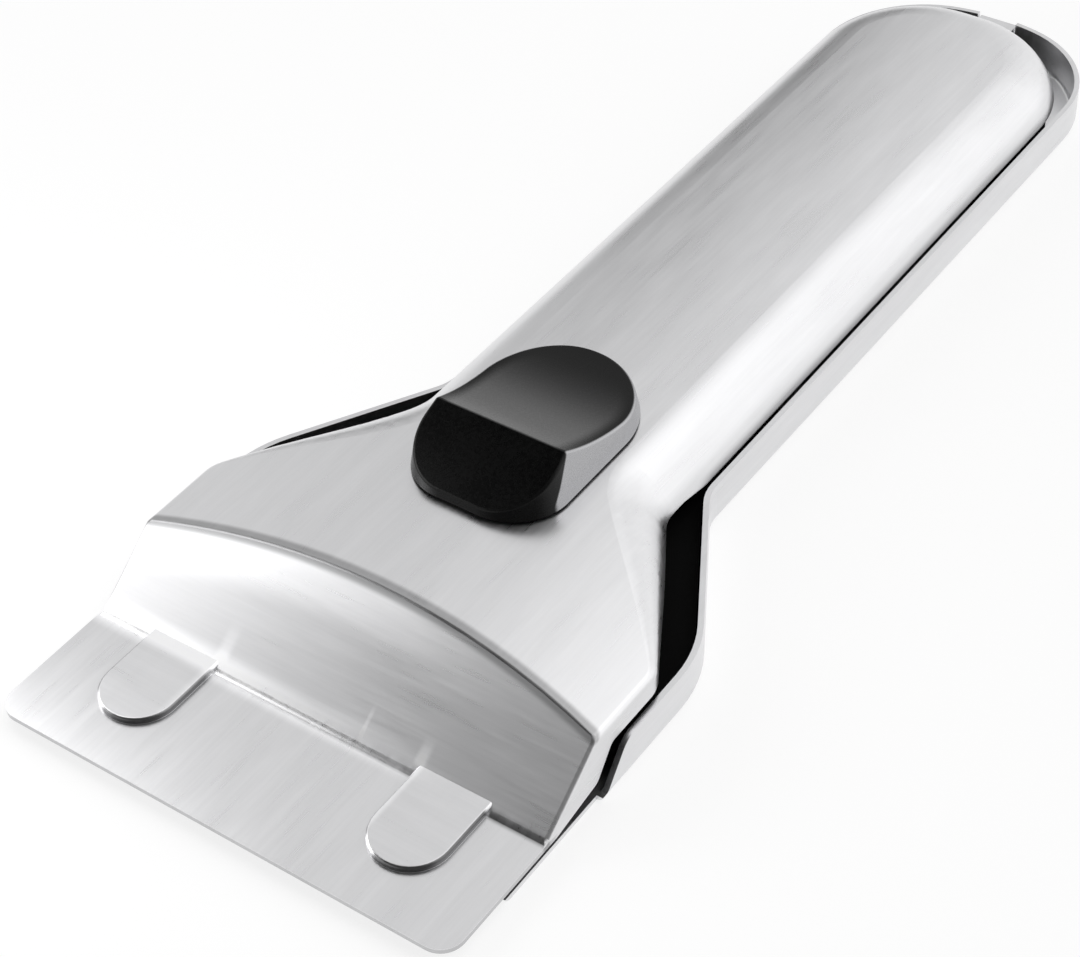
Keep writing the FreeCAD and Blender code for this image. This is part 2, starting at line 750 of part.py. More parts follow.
def soften_slope(outside):
    """Round the fold at the foot of the sloped face, the crest along its other edges, and the lip."""
    fold = at(S.fold_from_front).value
    lip = S.lip_top.value
    near = 0.05
    is_lip_corner = stands_at([(S.lid_head_width / 2, at(as_size(0.0)))])
    foot = []
    crest = []
    lip_corners = []
    for i, edge in enumerate(outside.Shape.Edges):
        box = edge.BoundBox
        on_fold = abs(box.YMin - fold) < near and abs(box.YMax - fold) < near
        if on_fold and box.ZMax < lip + near and box.XLength > box.YLength + near:
            foot.append((i + 1, S.fold_radius.value, S.fold_radius.value))
        elif borders_slope(outside.Shape, edge) and box.ZMax > lip + near:
            crest.append((i + 1, S.crest_radius.value, S.crest_radius.value))
        elif is_lip_corner(edge):
            lip_corners.append((i + 1, S.lip_corner_radius.value, S.lip_corner_radius.value))
    softened = doc.addObject("Part::Fillet", "lid_creased")
    softened.Base = outside
    softened.Edges = foot + crest + lip_corners
    return checked(softened)


def borders_slope(shape, edge):
    """Whether an edge belongs to the sloped face, which is hollow about an axis across the lid."""
    for face in shape.Faces:
        surface = face.Surface
        if isinstance(surface, Part.Cylinder) and abs(surface.Axis.x) > 0.99 \
                and abs(surface.Radius - S.slope_hollow_radius.value) < 1e-3:
            return any(edge.isSame(other) for other in face.Edges)
    return False


# ---- lower shell ---------------------------------------------------------------------------------

def tray_corners(inset, front_from_front):
    """The right half of the tray's outline as far as the handle, drawn in by an inset."""
    shift = tray_shift() * inset
    head = S.tray_head_width / 2 - inset
    handle = S.tray_handle_width / 2 - inset
    return [
        Corner(head, at(front_from_front)),
        Corner(head, at(S.tray_flare_from_front - shift), S.tray_flare_radius - inset),
        Corner(handle, at(S.tray_neck_from_front - shift), S.tray_neck_radius + inset),
    ]


def make_lower_shell():
    """The pressed tray: floor with a front lip, stepped walls, notch and screw holes."""
    handle = S.tray_handle_width / 2
    radius = S.tray_end_radius
    end = S.overall_length / 2 - radius + (radius * radius - handle * handle).root()
    right = tray_corners(as_size(0.0), S.tray_lip_from_front) + [Corner(handle, end)]

    body = new_body("tray_pressing")
    outline = draw(new_sketch(body, "XY_Plane"), mirrored(right), {3: (radius, True)})
    block = pad(body, outline, S.tray_rim)
    ended = rounded(body, block, S.tray_end_corner, stands_at([(handle, end)]))
    bent = rounded(body, ended, S.tray_bend, lies_at_height(0.0))

    sheet = body.newObject("PartDesign::Thickness", "tray_sheet")
    top = [i for i, face in enumerate(bent.Shape.Faces)
           if face.BoundBox.ZMin > S.tray_rim.value - 1e-3][0]
    sheet.Base = (bent, ["Face%d" % (top + 1)])
    sheet.Reversed = True
    bind(sheet, "Value", S.gauge)
    checked(sheet)

    pocket(body, draw(new_sketch(body, "YZ_Plane"), [
        Corner(at(-PAST), S.gauge),
        Corner(at(S.tray_step_foot_from_front), S.gauge),
        Corner(at(S.tray_step_head_from_front), S.tray_rim, S.tray_step_radius),
        Corner(at(S.tray_step_head_from_front + PAST), S.tray_rim),
        Corner(at(S.tray_step_head_from_front + PAST), S.tray_rim + PAST),
        Corner(at(-PAST), S.tray_rim + PAST),
    ]))
    for side in (-1, 1):
        inner = S.tray_lip_width / 2 * side
        outer = S.tray_head_width * side
        pocket(body, draw_box(new_sketch(body, "XY_Plane"), inner, outer,
                              at(-PAST), at(S.tray_step_foot_from_front - S.gauge)))

    notch = S.tongue_width / 2 + S.notch_gap
    pocket(body, draw_box(new_sketch(body, "XZ_Plane"), -notch, notch,
                          S.tongue_height - S.notch_gap, S.tray_rim + PAST),
           S.overall_length)
    return cut("lower_shell", body, screw_room)


# ---- screws between the shells -------------------------------------------------------------------

def screw_spots():
    half = S.neck_screw_spacing / 2
    return [(half, at(S.neck_screw_from_front)), (-half, at(S.neck_screw_from_front)),
            (as_size(0.0), at(S.rear_screw_from_front))]


def sunk_pins(name, spots, foot, head_radius, shank_radius, tip, gap):
    """Countersunk screws or rivets that stand head down, or with a gap the room that they need."""
    body = new_body(name)
    depth = head_radius - shank_radius
    heads = draw_circles(new_sketch(body, "XY_Plane", foot), spots, head_radius + gap)
    pad(body, heads, depth, draft=as_size(45.0))
    shanks = draw_circles(new_sketch(body, "XY_Plane", foot + depth / 2), spots, shank_radius + gap)
    pad(body, shanks, tip - foot - depth / 2)
    return body


def cross_recess(body, spots, foot, arm, width):
    """The driver's cross in each head."""
    for across, along in ((arm, width), (width, arm)):
        sketch = new_sketch(body, "XY_Plane", foot)
        for x, y in spots:
            draw_box(sketch, x - across / 2, x + across / 2, y - along / 2, y + along / 2)
        pocket(body, sketch, width, along_normal=True)


def make_shell_screws():
    """Three countersunk screws that reach through the tray into the bushes under the lid."""
    body = sunk_pins("shell_screws", screw_spots(), as_size(0.0), S.screw_head_radius,
                     S.screw_radius, S.screw_tip, as_size(0.0))
    cross_recess(body, screw_spots(), as_size(0.0), S.screw_head_radius, S.screw_recess)
    return body


def make_lid_bushes(hollow):
    """Three threaded bushes whose upper faces follow the inside of the crown."""
    body = new_body("bush_blanks")
    blanks = draw_circles(new_sketch(body, "XY_Plane", S.bush_foot), screw_spots(), S.bush_radius)
    pad(body, blanks, S.lid_top - S.bush_foot)
    bores = draw_circles(new_sketch(body, "XY_Plane", S.bush_foot), screw_spots(),
                         S.screw_radius + S.bore_gap)
    pocket(body, bores, S.screw_tip + S.bore_gap - S.bush_foot, along_normal=True)
    return shared("lid_bushes", body, hollow)


# ---- tongue at the rear end ----------------------------------------------------------------------

def make_rear_tongue():
    """The strip under the lid's end that bends down and reaches into the notch in the rim."""
    gauge = S.tongue_gauge
    roof = S.lid_top - S.gauge - S.tongue_gap
    top = S.tongue_height + gauge
    bend = S.tongue_bend_from_front
    fall = S.tongue_fall
    drop = roof - top
    half_turn = ((fall * fall + drop * drop).root() - fall) / drop
    body = new_body("rear_tongue")
    side = draw(new_sketch(body, "YZ_Plane"), [
        Corner(at(S.tongue_foot_from_front), roof - gauge),
        Corner(at(bend - fall - half_turn * gauge), roof - gauge, S.tongue_high_bend),
        Corner(at(bend - half_turn * gauge), S.tongue_height, S.tongue_low_bend + gauge),
        Corner(S.overall_length / 2, S.tongue_height),
        Corner(S.overall_length / 2, top),
        Corner(at(bend), top, S.tongue_low_bend),
        Corner(at(bend - fall), roof, S.tongue_high_bend + gauge),
        Corner(at(S.tongue_foot_from_front), roof),
    ])
    pad(body, side, S.tongue_width, both_ways=True)
    return body


# ---- moulded pieces that stay in the tray --------------------------------------------------------

def click_places():
    """Where the carriage's spring clicks into the rails: blade drawn in, and blade out."""
    return (at(S.spring_click_from_front), at(S.spring_click_from_front - S.travel))


def make_guide_frame():
    """The black frame in the head: a deck round a way for the carriage, with two notched rails."""
    inset = S.gauge + S.frame_gap
    shift = tray_shift() * inset
    head = S.tray_head_width / 2 - inset
    handle = S.tray_handle_width / 2 - inset
    inner = head - S.frame_arm_width
    way = S.channel_floor_width / 2
    front = at(S.frame_front_from_front)
    end = at(S.channel_end_from_front)

    body = new_body("guide_frame_block")
    outline = draw(new_sketch(body, "XY_Plane", S.gauge), mirrored([
        Corner(way, front),
        Corner(inner, front, S.frame_corner),
        Corner(inner, at(S.frame_arm_from_front)),
        Corner(head, at(S.frame_arm_from_front)),
        Corner(head, at(S.tray_flare_from_front - shift), S.tray_flare_radius - inset),
        Corner(handle, at(S.tray_neck_from_front - shift), S.tray_neck_radius + inset),
        Corner(handle, at(S.frame_rear_from_front), S.frame_corner),
    ]) + [Corner(-way, end), Corner(way, end)])
    deck = pad(body, outline, S.frame_top - S.gauge)
    bevelled(body, deck, S.frame_chamfer, lies_at_height(S.gauge))

    rails = new_sketch(body, "XY_Plane", S.frame_top)
    for side in (-1, 1):
        draw_box(rails, way * side, (way + S.rail_thickness) * side,
                 at(S.rail_front_from_front), end)
    pad(body, rails, S.rail_top - S.frame_top)
    bosses = draw_circles(new_sketch(body, "XY_Plane", S.frame_top), screw_spots()[:2], S.boss_radius)
    pad(body, bosses, S.boss_top - S.frame_top)

    notches = new_sketch(body, "XY_Plane", S.rail_top)
    for side in (-1, 1):
        for place in click_places():
            draw(notches, [
                Corner((way - S.side_play) * side, place - S.notch_reach),
                Corner(way * side, place - S.notch_reach),
                Corner((way + S.notch_depth) * side, place),
                Corner(way * side, place + S.notch_reach),
                Corner((way - S.side_play) * side, place + S.notch_reach),
            ])
    pocket(body, notches, S.rail_top - S.spring_low + S.spring_room)
    return cut("guide_frame", body, screw_room)


def make_handle_spacer(hollow):
    """The moulded block whose roof carries the lid near the handle's end."""
    half = S.spacer_width / 2
    front = at(S.spacer_front_from_front)
    rear = at(S.spacer_rear_from_front)
    wall = S.spacer_wall
    body = new_body("spacer_block")
    pad(body, draw_box(new_sketch(body, "XY_Plane", S.gauge), -half, half, front, rear),
        S.lid_top - S.gauge)
    rooms = new_sketch(body, "XY_Plane", S.gauge)
    for side in (-1, 1):
        draw_box(rooms, S.spacer_core * side, (half - wall) * side, front + wall, rear - wall)
    ceiling = S.lid_top - S.gauge - S.spacer_roof
    pocket(body, rooms, ceiling - S.gauge, along_normal=True)
    seat = draw_circles(new_sketch(body, "XY_Plane", S.lid_top), screw_spots()[2:],
                        S.bush_radius + S.bore_gap)
    pocket(body, seat, S.lid_top - S.bush_foot + S.glide)
    return cut("handle_spacer", shared("spacer_in_lid", body, hollow), screw_room)


# ---- blade and holder ----------------------------------------------------------------------------

def holder_foot():
    return S.gauge + S.glide


def blade_foot():
    return holder_foot() + S.holder_gauge


def stud_spots(shift=0.0):
    half = S.channel_spacing / 2
    return [(half, at(S.stud_from_front + shift)), (-half, at(S.stud_from_front + shift))]


def rivet_spots():
    half = S.rivet_spacing / 2
    return [(half, at(S.rivet_from_front)), (-half, at(S.rivet_from_front))]


def stem_spot():
    return [(as_size(0.0), at(S.stem_from_front))]


def make_blade():
    """A thin steel plate with a ground front edge and two keyholes."""
    foot = blade_foot()
    top = foot + S.blade_gauge
    edge = at(S.blade_edge_from_front)
    half = S.blade_width / 2
    land = foot + S.blade_land
    neck = S.stud_radius + S.bore_gap
    body = new_body("blade")
    pad(body, draw_box(new_sketch(body, "XY_Plane", foot), -half, half, edge, edge + S.blade_depth),
        S.blade_gauge)
    pocket(body, draw_circles(new_sketch(body, "XY_Plane"), stud_spots(), neck))
    pocket(body, draw_circles(new_sketch(body, "XY_Plane"), stud_spots(S.keyhole_shift),
                              S.keyhole_radius))
    necks = new_sketch(body, "XY_Plane")
    for x, y in stud_spots():
        draw_box(necks, x - neck, x + neck, y, y + S.keyhole_shift)
    pocket(body, necks)
    pocket(body, draw(new_sketch(body, "YZ_Plane"), [
        Corner(edge - PAST, land),
        Corner(edge, land),
        Corner(edge + S.bevel, top),
        Corner(edge + S.bevel, top + PAST),
        Corner(edge - PAST, top + PAST),
    ]))
    return body


def make_blade_holder():
    """The plate under the blade, wide at the front and narrow under the carriage."""
    head = S.holder_head_width / 2
    tail = S.holder_tail_width / 2
    body = new_body("holder_plate")
    outline = draw(new_sketch(body, "XY_Plane", holder_foot()), mirrored([
        Corner(head, at(S.holder_front_from_front), S.holder_front_corner),
        Corner(head, at(S.holder_head_from_front), S.holder_taper_corner),
        Corner(tail, at(S.holder_taper_from_front), S.holder_taper_corner),
        Corner(tail, at(S.holder_tail_from_front), S.holder_tail_corner),
    ]))
    pad(body, outline, S.holder_gauge)
    pocket(body, draw_circles(new_sketch(body, "XY_Plane"), stud_spots(),
                              S.stud_tail_radius + S.bore_gap))
    bored = cut("holder_bored", body, rivet_room)
    return cut("blade_holder", bored, stem_screw_room)


def make_blade_studs():
    """Two headed studs, riveted into the holder, with the blade under their heads."""
    neck = S.blade_gauge + S.stud_play
    head_foot = blade_foot() + neck
    body = new_body("blade_studs")
    pad(body, draw_circles(new_sketch(body, "XY_Plane", holder_foot()), stud_spots(),
                           S.stud_tail_radius), S.holder_gauge)
    pad(body, draw_circles(new_sketch(body, "XY_Plane", blade_foot()), stud_spots(), S.stud_radius),
        neck)
    head = pad(body, draw_circles(new_sketch(body, "XY_Plane", head_foot), stud_spots(),
                                  S.stud_head_radius), S.stud_head_height)
    bevelled(body, head, S.stud_head_edge, lies_at_height(head_foot + S.stud_head_height))
    return body


def make_holder_rivets():
    """Two countersunk rivets that join the holder to the carriage."""
    return sunk_pins("holder_rivets", rivet_spots(), holder_foot(), S.rivet_head_radius,
                     S.rivet_radius, S.rivet_top, as_size(0.0))


# ---- carriage and its spring ---------------------------------------------------------------------

def make_carriage():
    """The block that runs between the rails, with a socket for the button's stem."""
    foot = blade_foot()
    front = at(S.carriage_front_from_front)
    rear = at(S.carriage_rear_from_front)
    width = S.channel_floor_width - S.side_play * 2
    body = new_body("carriage_block")
    block = pad(body, draw(new_sketch(body, "YZ_Plane"), [
        Corner(front, foot), Corner(rear, foot), Corner(rear, S.carriage_top),
        Corner(front + S.carriage_nose, S.carriage_top),
        Corner(front, S.carriage_top - S.carriage_nose),
    ]), width, both_ways=True)
    rounded(body, block, S.carriage_corner, stands_at([(width / 2, front), (width / 2, rear)]))

    sides = new_sketch(body, "XY_Plane", S.spring_low - S.spring_room)
    for side in (-1, 1):
        draw_box(sides, (width / 2 - S.recess_depth) * side, (width / 2 + PAST) * side,
                 at(S.recess_from_front), rear + PAST)
    pocket(body, sides, S.spring_high - S.spring_low + S.spring_room * 2, along_normal=True)

    play = S.bore_gap
    half_width = S.stem_width / 2 + play
    half_length = S.stem_length / 2 + play
    socket = draw_box(new_sketch(body, "XY_Plane", S.carriage_top), -half_width, half_width,
                      at(S.stem_from_front) - half_length, at(S.stem_from_front) + half_length)
    pocket(body, socket, S.carriage_top - S.stem_foot + play)

    pins = draw_circles(new_sketch(body, "XZ_Plane", -rear), pin_spots(), S.pin_radius + play)
    pocket(body, pins, S.pin_length + play, along_normal=True)
    bored = cut("carriage_bored", body, rivet_room)
    return cut("carriage", bored, stem_screw_room)


def pin_spots():
    """Places of the leaf's pins, across and up."""
    height = (S.spring_low + S.spring_high) / 2
    return [(S.pin_spacing / 2, height), (-S.pin_spacing / 2, height)]


def make_spring_pins():
    """Two headed pins that hold the leaf against the carriage's rear face."""
    outside = at(S.carriage_rear_from_front) + S.spring_gauge + S.pin_head
    body = new_body("spring_pins")
    pad(body, draw_circles(new_sketch(body, "XZ_Plane", -outside), pin_spots(), S.pin_head_radius),
        S.pin_head)
    pad(body, draw_circles(new_sketch(body, "XZ_Plane", -outside), pin_spots(), S.pin_radius),
        S.pin_head + S.spring_gauge + S.pin_length)
    return body


def make_detent_spring():
    """A leaf bent round the carriage's rear, whose two crests click into the rails."""
    gauge = S.spring_gauge
    outer = S.spring_arm_width / 2
    inner = outer - gauge
    web = at(S.carriage_rear_from_front)
    click = at(S.spring_click_from_front)
    reach = S.spring_click_reach
    crest = S.spring_click_width / 2
    rise = crest - outer
    slant = (rise * rise + reach * reach).root()
    inner_reach = reach - gauge * (slant - reach) / rise
    tip = at(S.spring_tip_from_front)
    body = new_body("detent_spring")
    outline = draw(new_sketch(body, "XY_Plane", S.spring_low), mirrored([
        Corner(outer, web + gauge, S.spring_corner + gauge),
        Corner(outer, click + reach),
        Corner(crest, click),
        Corner(outer, click - reach),
        Corner(outer, tip),
        Corner(inner, tip),
        Corner(inner, click - inner_reach),
        Corner(crest - gauge * slant / reach, click),
        Corner(inner, click + inner_reach),
        Corner(inner, web, S.spring_corner),
    ]))
    pad(body, outline, S.spring_high - S.spring_low)
    holes = draw_circles(new_sketch(body, "XZ_Plane"), pin_spots(), S.pin_radius + S.bore_gap)
    pocket(body, holes)
    return body


# ---- thumb button --------------------------------------------------------------------------------

def make_thumb_button():
    """The slider cap: leaning walls, a steep front facet, a ridge, a hollow ramp and a stem."""
    half = S.button_width / 2
    front = at(S.button_front_from_front)
    rear = at(S.button_rear_from_front)
    body = new_body("thumb_button")
    outline = draw(new_sketch(body, "XY_Plane", S.button_base), mirrored([
        Corner(half, front, S.button_front_corner),
        Corner(half, rear, S.button_rear_corner),
    ]))
    pad(body, outline, S.ridge_height + PAST - S.button_base, draft=S.button_draft)

    profile = pocket(body, draw(new_sketch(body, "YZ_Plane"), [
        Corner(front - PAST, S.facet_foot_height),
        Corner(at(S.facet_foot_from_front), S.facet_foot_height),
        Corner(at(S.ridge_from_front), S.ridge_height),
        Corner(at(S.ramp_end_from_front), S.ramp_end_height),
        Corner(rear + PAST, S.ramp_end_height),
        Corner(rear + PAST, S.ridge_height + PAST * 2),
        Corner(front - PAST, S.ridge_height + PAST * 2),
    ], {2: (S.ramp_radius, True)}))
    ridge = rounded(body, profile, S.ridge_radius, lies_at_height(S.ridge_height, 0.02))
    rounded(body, ridge, S.button_edge, is_button_edge)

    radius = S.crown_radius + S.button_gap
    reach = S.button_width
    seat = S.lid_top - S.crown_radius + (radius * radius - reach * reach).root()
    pocket(body, draw(new_sketch(body, "XZ_Plane"), [
        Corner(-reach, 0.0), Corner(reach, 0.0), Corner(reach, seat), Corner(-reach, seat),
    ], {2: (radius, True)}))

    stem = draw_box(new_sketch(body, "XY_Plane", S.stem_foot), -S.stem_width / 2, S.stem_width / 2,
                    at(S.stem_from_front) - S.stem_length / 2,
                    at(S.stem_from_front) + S.stem_length / 2)
    pad(body, stem, S.facet_foot_height - S.stem_foot)
    bore = draw_circles(new_sketch(body, "XY_Plane", S.stem_foot), stem_spot(),
                        S.stem_screw_radius + S.bore_gap)
    pocket(body, bore, S.stem_screw_tip + S.bore_gap - S.stem_foot, along_normal=True)
    return body


def is_button_edge(edge):
    """The edges round the facet and the ramp: all but the ridge, the base and the seams of walls."""
    margin = 0.5
    box = edge.BoundBox
    above_base = box.ZMin > S.button_base.value + margin
    below_ridge = box.ZMax < S.ridge_height.value - margin
    return above_base and below_ridge and not is_leaning(edge)


def is_leaning(edge):
    """Whether an edge runs straight up a leaning wall."""
    first, last = ends_of(edge)
    steepest_level_edge = math.cos(math.radians(25.0))
    return abs(first.z - last.z) > (last - first).Length * steepest_level_edge


def make_button_screw():
    """The screw that draws the button's stem down into the carriage."""
    body = sunk_pins("button_screw", stem_spot(), holder_foot(), S.stem_screw_head_radius,
                     S.stem_screw_radius, S.stem_screw_tip, as_size(0.0))
    cross_recess(body, stem_spot(), holder_foot(), S.stem_screw_head_radius, S.screw_recess / 2)
    return body


# ---- all the sub-parts ---------------------------------------------------------------------------

screw_room = sunk_pins("screw_room", screw_spots(), as_size(0.0), S.screw_head_radius,
                       S.screw_radius, S.screw_tip, S.bore_gap)
rivet_room = sunk_pins("rivet_room", rivet_spots(), holder_foot(), S.rivet_head_radius,
                       S.rivet_radius, S.rivet_top + S.bore_gap, S.bore_gap)
stem_screw_room = sunk_pins("stem_screw_room", stem_spot(), holder_foot(), S.stem_screw_head_radius,
                            S.stem_screw_radius, S.stem_screw_tip + S.bore_gap, S.bore_gap)
lid_hollow = lid_form("lid_hollow", S.gauge, as_size(-2.0))

sub_parts = [
    make_upper_shell(lid_hollow),
    make_lower_shell(),
    make_rear_tongue(),
    make_lid_bushes(lid_hollow),
    make_shell_screws(),
    make_guide_frame(),
    make_handle_spacer(lid_hollow),
    make_blade(),
    make_blade_holder(),
    make_blade_studs(),
    make_holder_rivets(),
    make_carriage(),
    make_spring_pins(),
    make_detent_spring(),
    make_thumb_button(),
    make_button_screw(),
]


def write_parts():
    """Check every object, then write each sub-part to its own file."""
    doc.recompute()
    for thing in doc.Objects:
        if "Invalid" in thing.State or "Error" in thing.State:
            raise RuntimeError("%s failed" % thing.Name)
    for thing in sub_parts:
        if thing.Shape.isNull() or not thing.Shape.isValid() or thing.Shape.Volume <= 0:
            raise RuntimeError("%s has no valid shape" % thing.Label)
    os.makedirs("parts", exist_ok=True)
    for thing in sub_parts:
        thing.Shape.exportStep("parts/%s.step" % thing.Label)
        print("%-16s %2d solid(s) %9.2f mm3" % (thing.Label, len(thing.Shape.Solids),
                                               thing.Shape.Volume))


write_parts()
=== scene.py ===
"""Looks of a hob scraper: two satin steel shells, a black thumb slider and a hidden blade.

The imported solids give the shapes. Here they get their finishes, a white table, the soft light of a
room with two panels, and the camera of the photograph. Lengths are in metres.
"""

import logging
import math
from dataclasses import dataclass, field
from enum import Enum
from typing import Any

import bmesh
import bpy
from mathutils import Matrix, Vector

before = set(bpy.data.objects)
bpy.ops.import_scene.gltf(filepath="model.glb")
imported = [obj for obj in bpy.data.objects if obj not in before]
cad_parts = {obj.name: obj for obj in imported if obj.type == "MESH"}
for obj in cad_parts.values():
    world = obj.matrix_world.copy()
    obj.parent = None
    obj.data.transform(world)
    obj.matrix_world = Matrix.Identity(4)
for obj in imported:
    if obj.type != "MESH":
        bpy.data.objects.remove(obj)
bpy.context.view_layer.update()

logging.basicConfig(level=logging.INFO, format="%(name)s: %(message)s")
log = logging.getLogger("hob_scraper")

MM = 0.001
MICRON = 0.000001
Colour = tuple[float, float, float]
Point = tuple[float, float, float]
Fade = tuple[float, float]
BLACK: Colour = (0.0, 0.0, 0.0)
WHITE: Colour = (1.0, 1.0, 1.0)
SOFTER_STRETCH = 4.0


# ---- shader writing ------------------------------------------------------------------------------

class Signal:
    """A number that a shader node gives. Python's operators on it add Math nodes."""

    def __init__(self, writer: "ShaderWriter", socket: bpy.types.NodeSocket) -> None:
        """Keep the socket, and the writer whose tree it belongs to."""
        self.writer = writer
        self.socket = socket

    def _math(self, operation: str, *others: Any) -> "Signal":
        """Feed this signal and others to a Math node.

        Args:
            operation: the Math node's operation.
            others: the values or signals after this one.

        Returns:
            The node's result.
        """
        return self.writer.maths(operation, self, *others)

    def __add__(self, other: Any) -> "Signal":
        """This plus other."""
        return self._math("ADD", other)

    __radd__ = __add__

    def __mul__(self, other: Any) -> "Signal":
        """This times other."""
        return self._math("MULTIPLY", other)

    __rmul__ = __mul__

    def __sub__(self, other: Any) -> "Signal":
        """This less other."""
        return self._math("SUBTRACT", other)

    def __rsub__(self, other: Any) -> "Signal":
        """Other less this."""
        return self.writer.maths("SUBTRACT", other, self)

    def __abs__(self) -> "Signal":
        """The size of this, whatever its sign."""
        return self._math("ABSOLUTE")

    def __pow__(self, other: Any) -> "Signal":
        """This raised to a power."""
        return self._math("POWER", other)

    def greater(self, other: Any) -> "Signal":
        """The larger of this and other."""
        return self._math("MAXIMUM", other)

    def ramp(self, low: float, high: float) -> "Signal":
        """A soft rise from 0 to 1 while this goes from low to high.

        Args:
            low: where the rise starts.
            high: where it ends, which may lie below low.

        Returns:
            The rise.
        """
        return self.writer.rise(self, low, high)

    def band(self, middle: float, half: float, soft: float) -> "Signal":
        """A soft-edged stripe where this is within half of middle.

        Args:
            middle: the stripe's middle.
            half: half its width.
            soft: the width of each soft edge.

        Returns:
            1 in the stripe and 0 outside.
        """
        return abs(self - middle).ramp(half + soft, half)


class ShaderWriter:
    """Adds nodes to one node tree."""

    def __init__(self, tree: bpy.types.NodeTree) -> None:
        """Start on an empty tree."""
        self.tree = tree
        tree.nodes.clear()

    def node(self, kind: str, settings: dict[str, Any] | None = None,
             inputs: dict[Any, Any] | None = None) -> bpy.types.Node:
        """Add a node.

        Args:
            kind: the node's type name.
            settings: its settings, such as a Math node's operation, set before its sockets.
            inputs: for each socket, by name or number, a value or what is linked to it.

        Returns:
            The node.
        """
        made = self.tree.nodes.new(kind)
        for name, value in (settings or {}).items():
            setattr(made, name, value)
        for name, value in (inputs or {}).items():
            self.feed(made.inputs[name], value)
        return made

    def feed(self, socket: bpy.types.NodeSocket, value: Any) -> None:
        """Link a signal or a socket to a socket, or set its value."""
        if isinstance(value, Signal):
            self.tree.links.new(value.socket, socket)
        elif isinstance(value, bpy.types.NodeSocket):
            self.tree.links.new(value, socket)
        elif isinstance(value, tuple) and len(value) < len(socket.default_value):
            socket.default_value = (*value, 1.0)
        else:
            socket.default_value = value

    def maths(self, operation: str, *values: Any) -> Signal:
        """A Math node's result on the given values or signals."""
        made = self.node("ShaderNodeMath", {"operation": operation}, dict(enumerate(values)))
        return Signal(self, made.outputs[0])

    def rise(self, signal: Signal, low: float, high: float) -> Signal:
        """A smooth step of a signal from 0 at low to 1 at high."""
        made = self.node("ShaderNodeMapRange", {"interpolation_type": "SMOOTHSTEP"},
                         {"Value": signal, "From Min": low, "From Max": high})
        return Signal(self, made.outputs["Result"])

    def place(self) -> bpy.types.NodeSocket:
        """The point of the surface, in the object's own frame."""
        return self.node("ShaderNodeTexCoord").outputs["Object"]

    def axes(self, vector: bpy.types.NodeSocket) -> tuple[Signal, Signal, Signal]:
        """The three numbers of a vector."""
        parts = self.node("ShaderNodeSeparateXYZ", inputs={0: vector}).outputs
        return Signal(self, parts[0]), Signal(self, parts[1]), Signal(self, parts[2])

    def stretched(self, vector: bpy.types.NodeSocket, scale: Point) -> bpy.types.NodeSocket:
        """A vector scaled along its axes."""
        made = self.node("ShaderNodeVectorMath", {"operation": "MULTIPLY"}, {0: vector, 1: scale})
        return made.outputs[0]

    def noise(self, vector: bpy.types.NodeSocket, scale: float, detail: float = 2.0,
              roughness: float = 0.5) -> Signal:
        """Soft noise of 0 to 1.

        Args:
            vector: where it is read.
            scale: blotches per metre.
            detail: how many finer layers it has.
            roughness: how strong the finer layers are.

        Returns:
            The noise.
        """
        made = self.node("ShaderNodeTexNoise", {"noise_dimensions": "3D"}, {
            "Vector": vector, "Scale": scale, "Detail": detail, "Roughness": roughness})
        return Signal(self, made.outputs["Fac"])

    def blend(self, share: Signal, first: Any, second: Any) -> bpy.types.NodeSocket:
        """A colour between two colours, on the Mix node's colour sockets."""
        made = self.node("ShaderNodeMix", {"data_type": "RGBA"},
                         {"Factor": share, 6: first, 7: second})
        return made.outputs[2]

    def bump(self, height: Signal, distance: float, strength: float) -> bpy.types.NodeSocket:
        """A normal tilted by a height.

        Args:
            height: the height, of 0 to 1.
            distance: what a height of 1 stands for, in metres.
            strength: how much of it shows.

        Returns:
            The normal.
        """
        made = self.node("ShaderNodeBump", inputs={
            "Strength": strength, "Distance": distance, "Height": height})
        return made.outputs["Normal"]


class Grain(Enum):
    """The way in which a surface was rubbed, as the stretch of its noise along X, Y and Z."""

    LENGTHWAYS = (1.0, 0.04, 1.0)
    CROSSWAYS = (0.04, 1.0, 1.0)
    EVEN = (1.0, 1.0, 1.0)

    def softer(self) -> Point:
        """The same way with a quarter of the stretch, for broad streaks."""
        return tuple(min(1.0, value * SOFTER_STRETCH) for value in self.value)


# ---- finishes ------------------------------------------------------------------------------------

@dataclass(frozen=True)
class Finish:
    """A surface: its name, its slot in the record and its own tone."""

    name: str
    slot: str
    tone: Colour
    roughness: float
    metallic: float = 0.0
    ior: float = 1.5

    def shader(self) -> tuple[bpy.types.Material, ShaderWriter, bpy.types.Node]:
        """Start the material.

        Returns:
            The material, its writer, and its surface node with the constant sockets set.
        """
        material = bpy.data.materials.new(self.name)
        material.use_nodes = True
        writer = ShaderWriter(material.node_tree)
        surface = writer.node("ShaderNodeBsdfPrincipled", inputs={
            "Base Color": self.tone, "Roughness": self.roughness,
            "Metallic": self.metallic, "IOR": self.ior})
        writer.node("ShaderNodeOutputMaterial", inputs={"Surface": surface.outputs[0]})
        return material, writer, surface

    def dress(self, piece: bpy.types.Object) -> None:
        """Give a piece this finish."""
        material = bpy.data.materials.get(self.name) or self.build()
        piece.data.materials.clear()
        piece.data.materials.append(material)

    def build(self) -> bpy.types.Material:
        """Write the material's nodes."""
        raise NotImplementedError


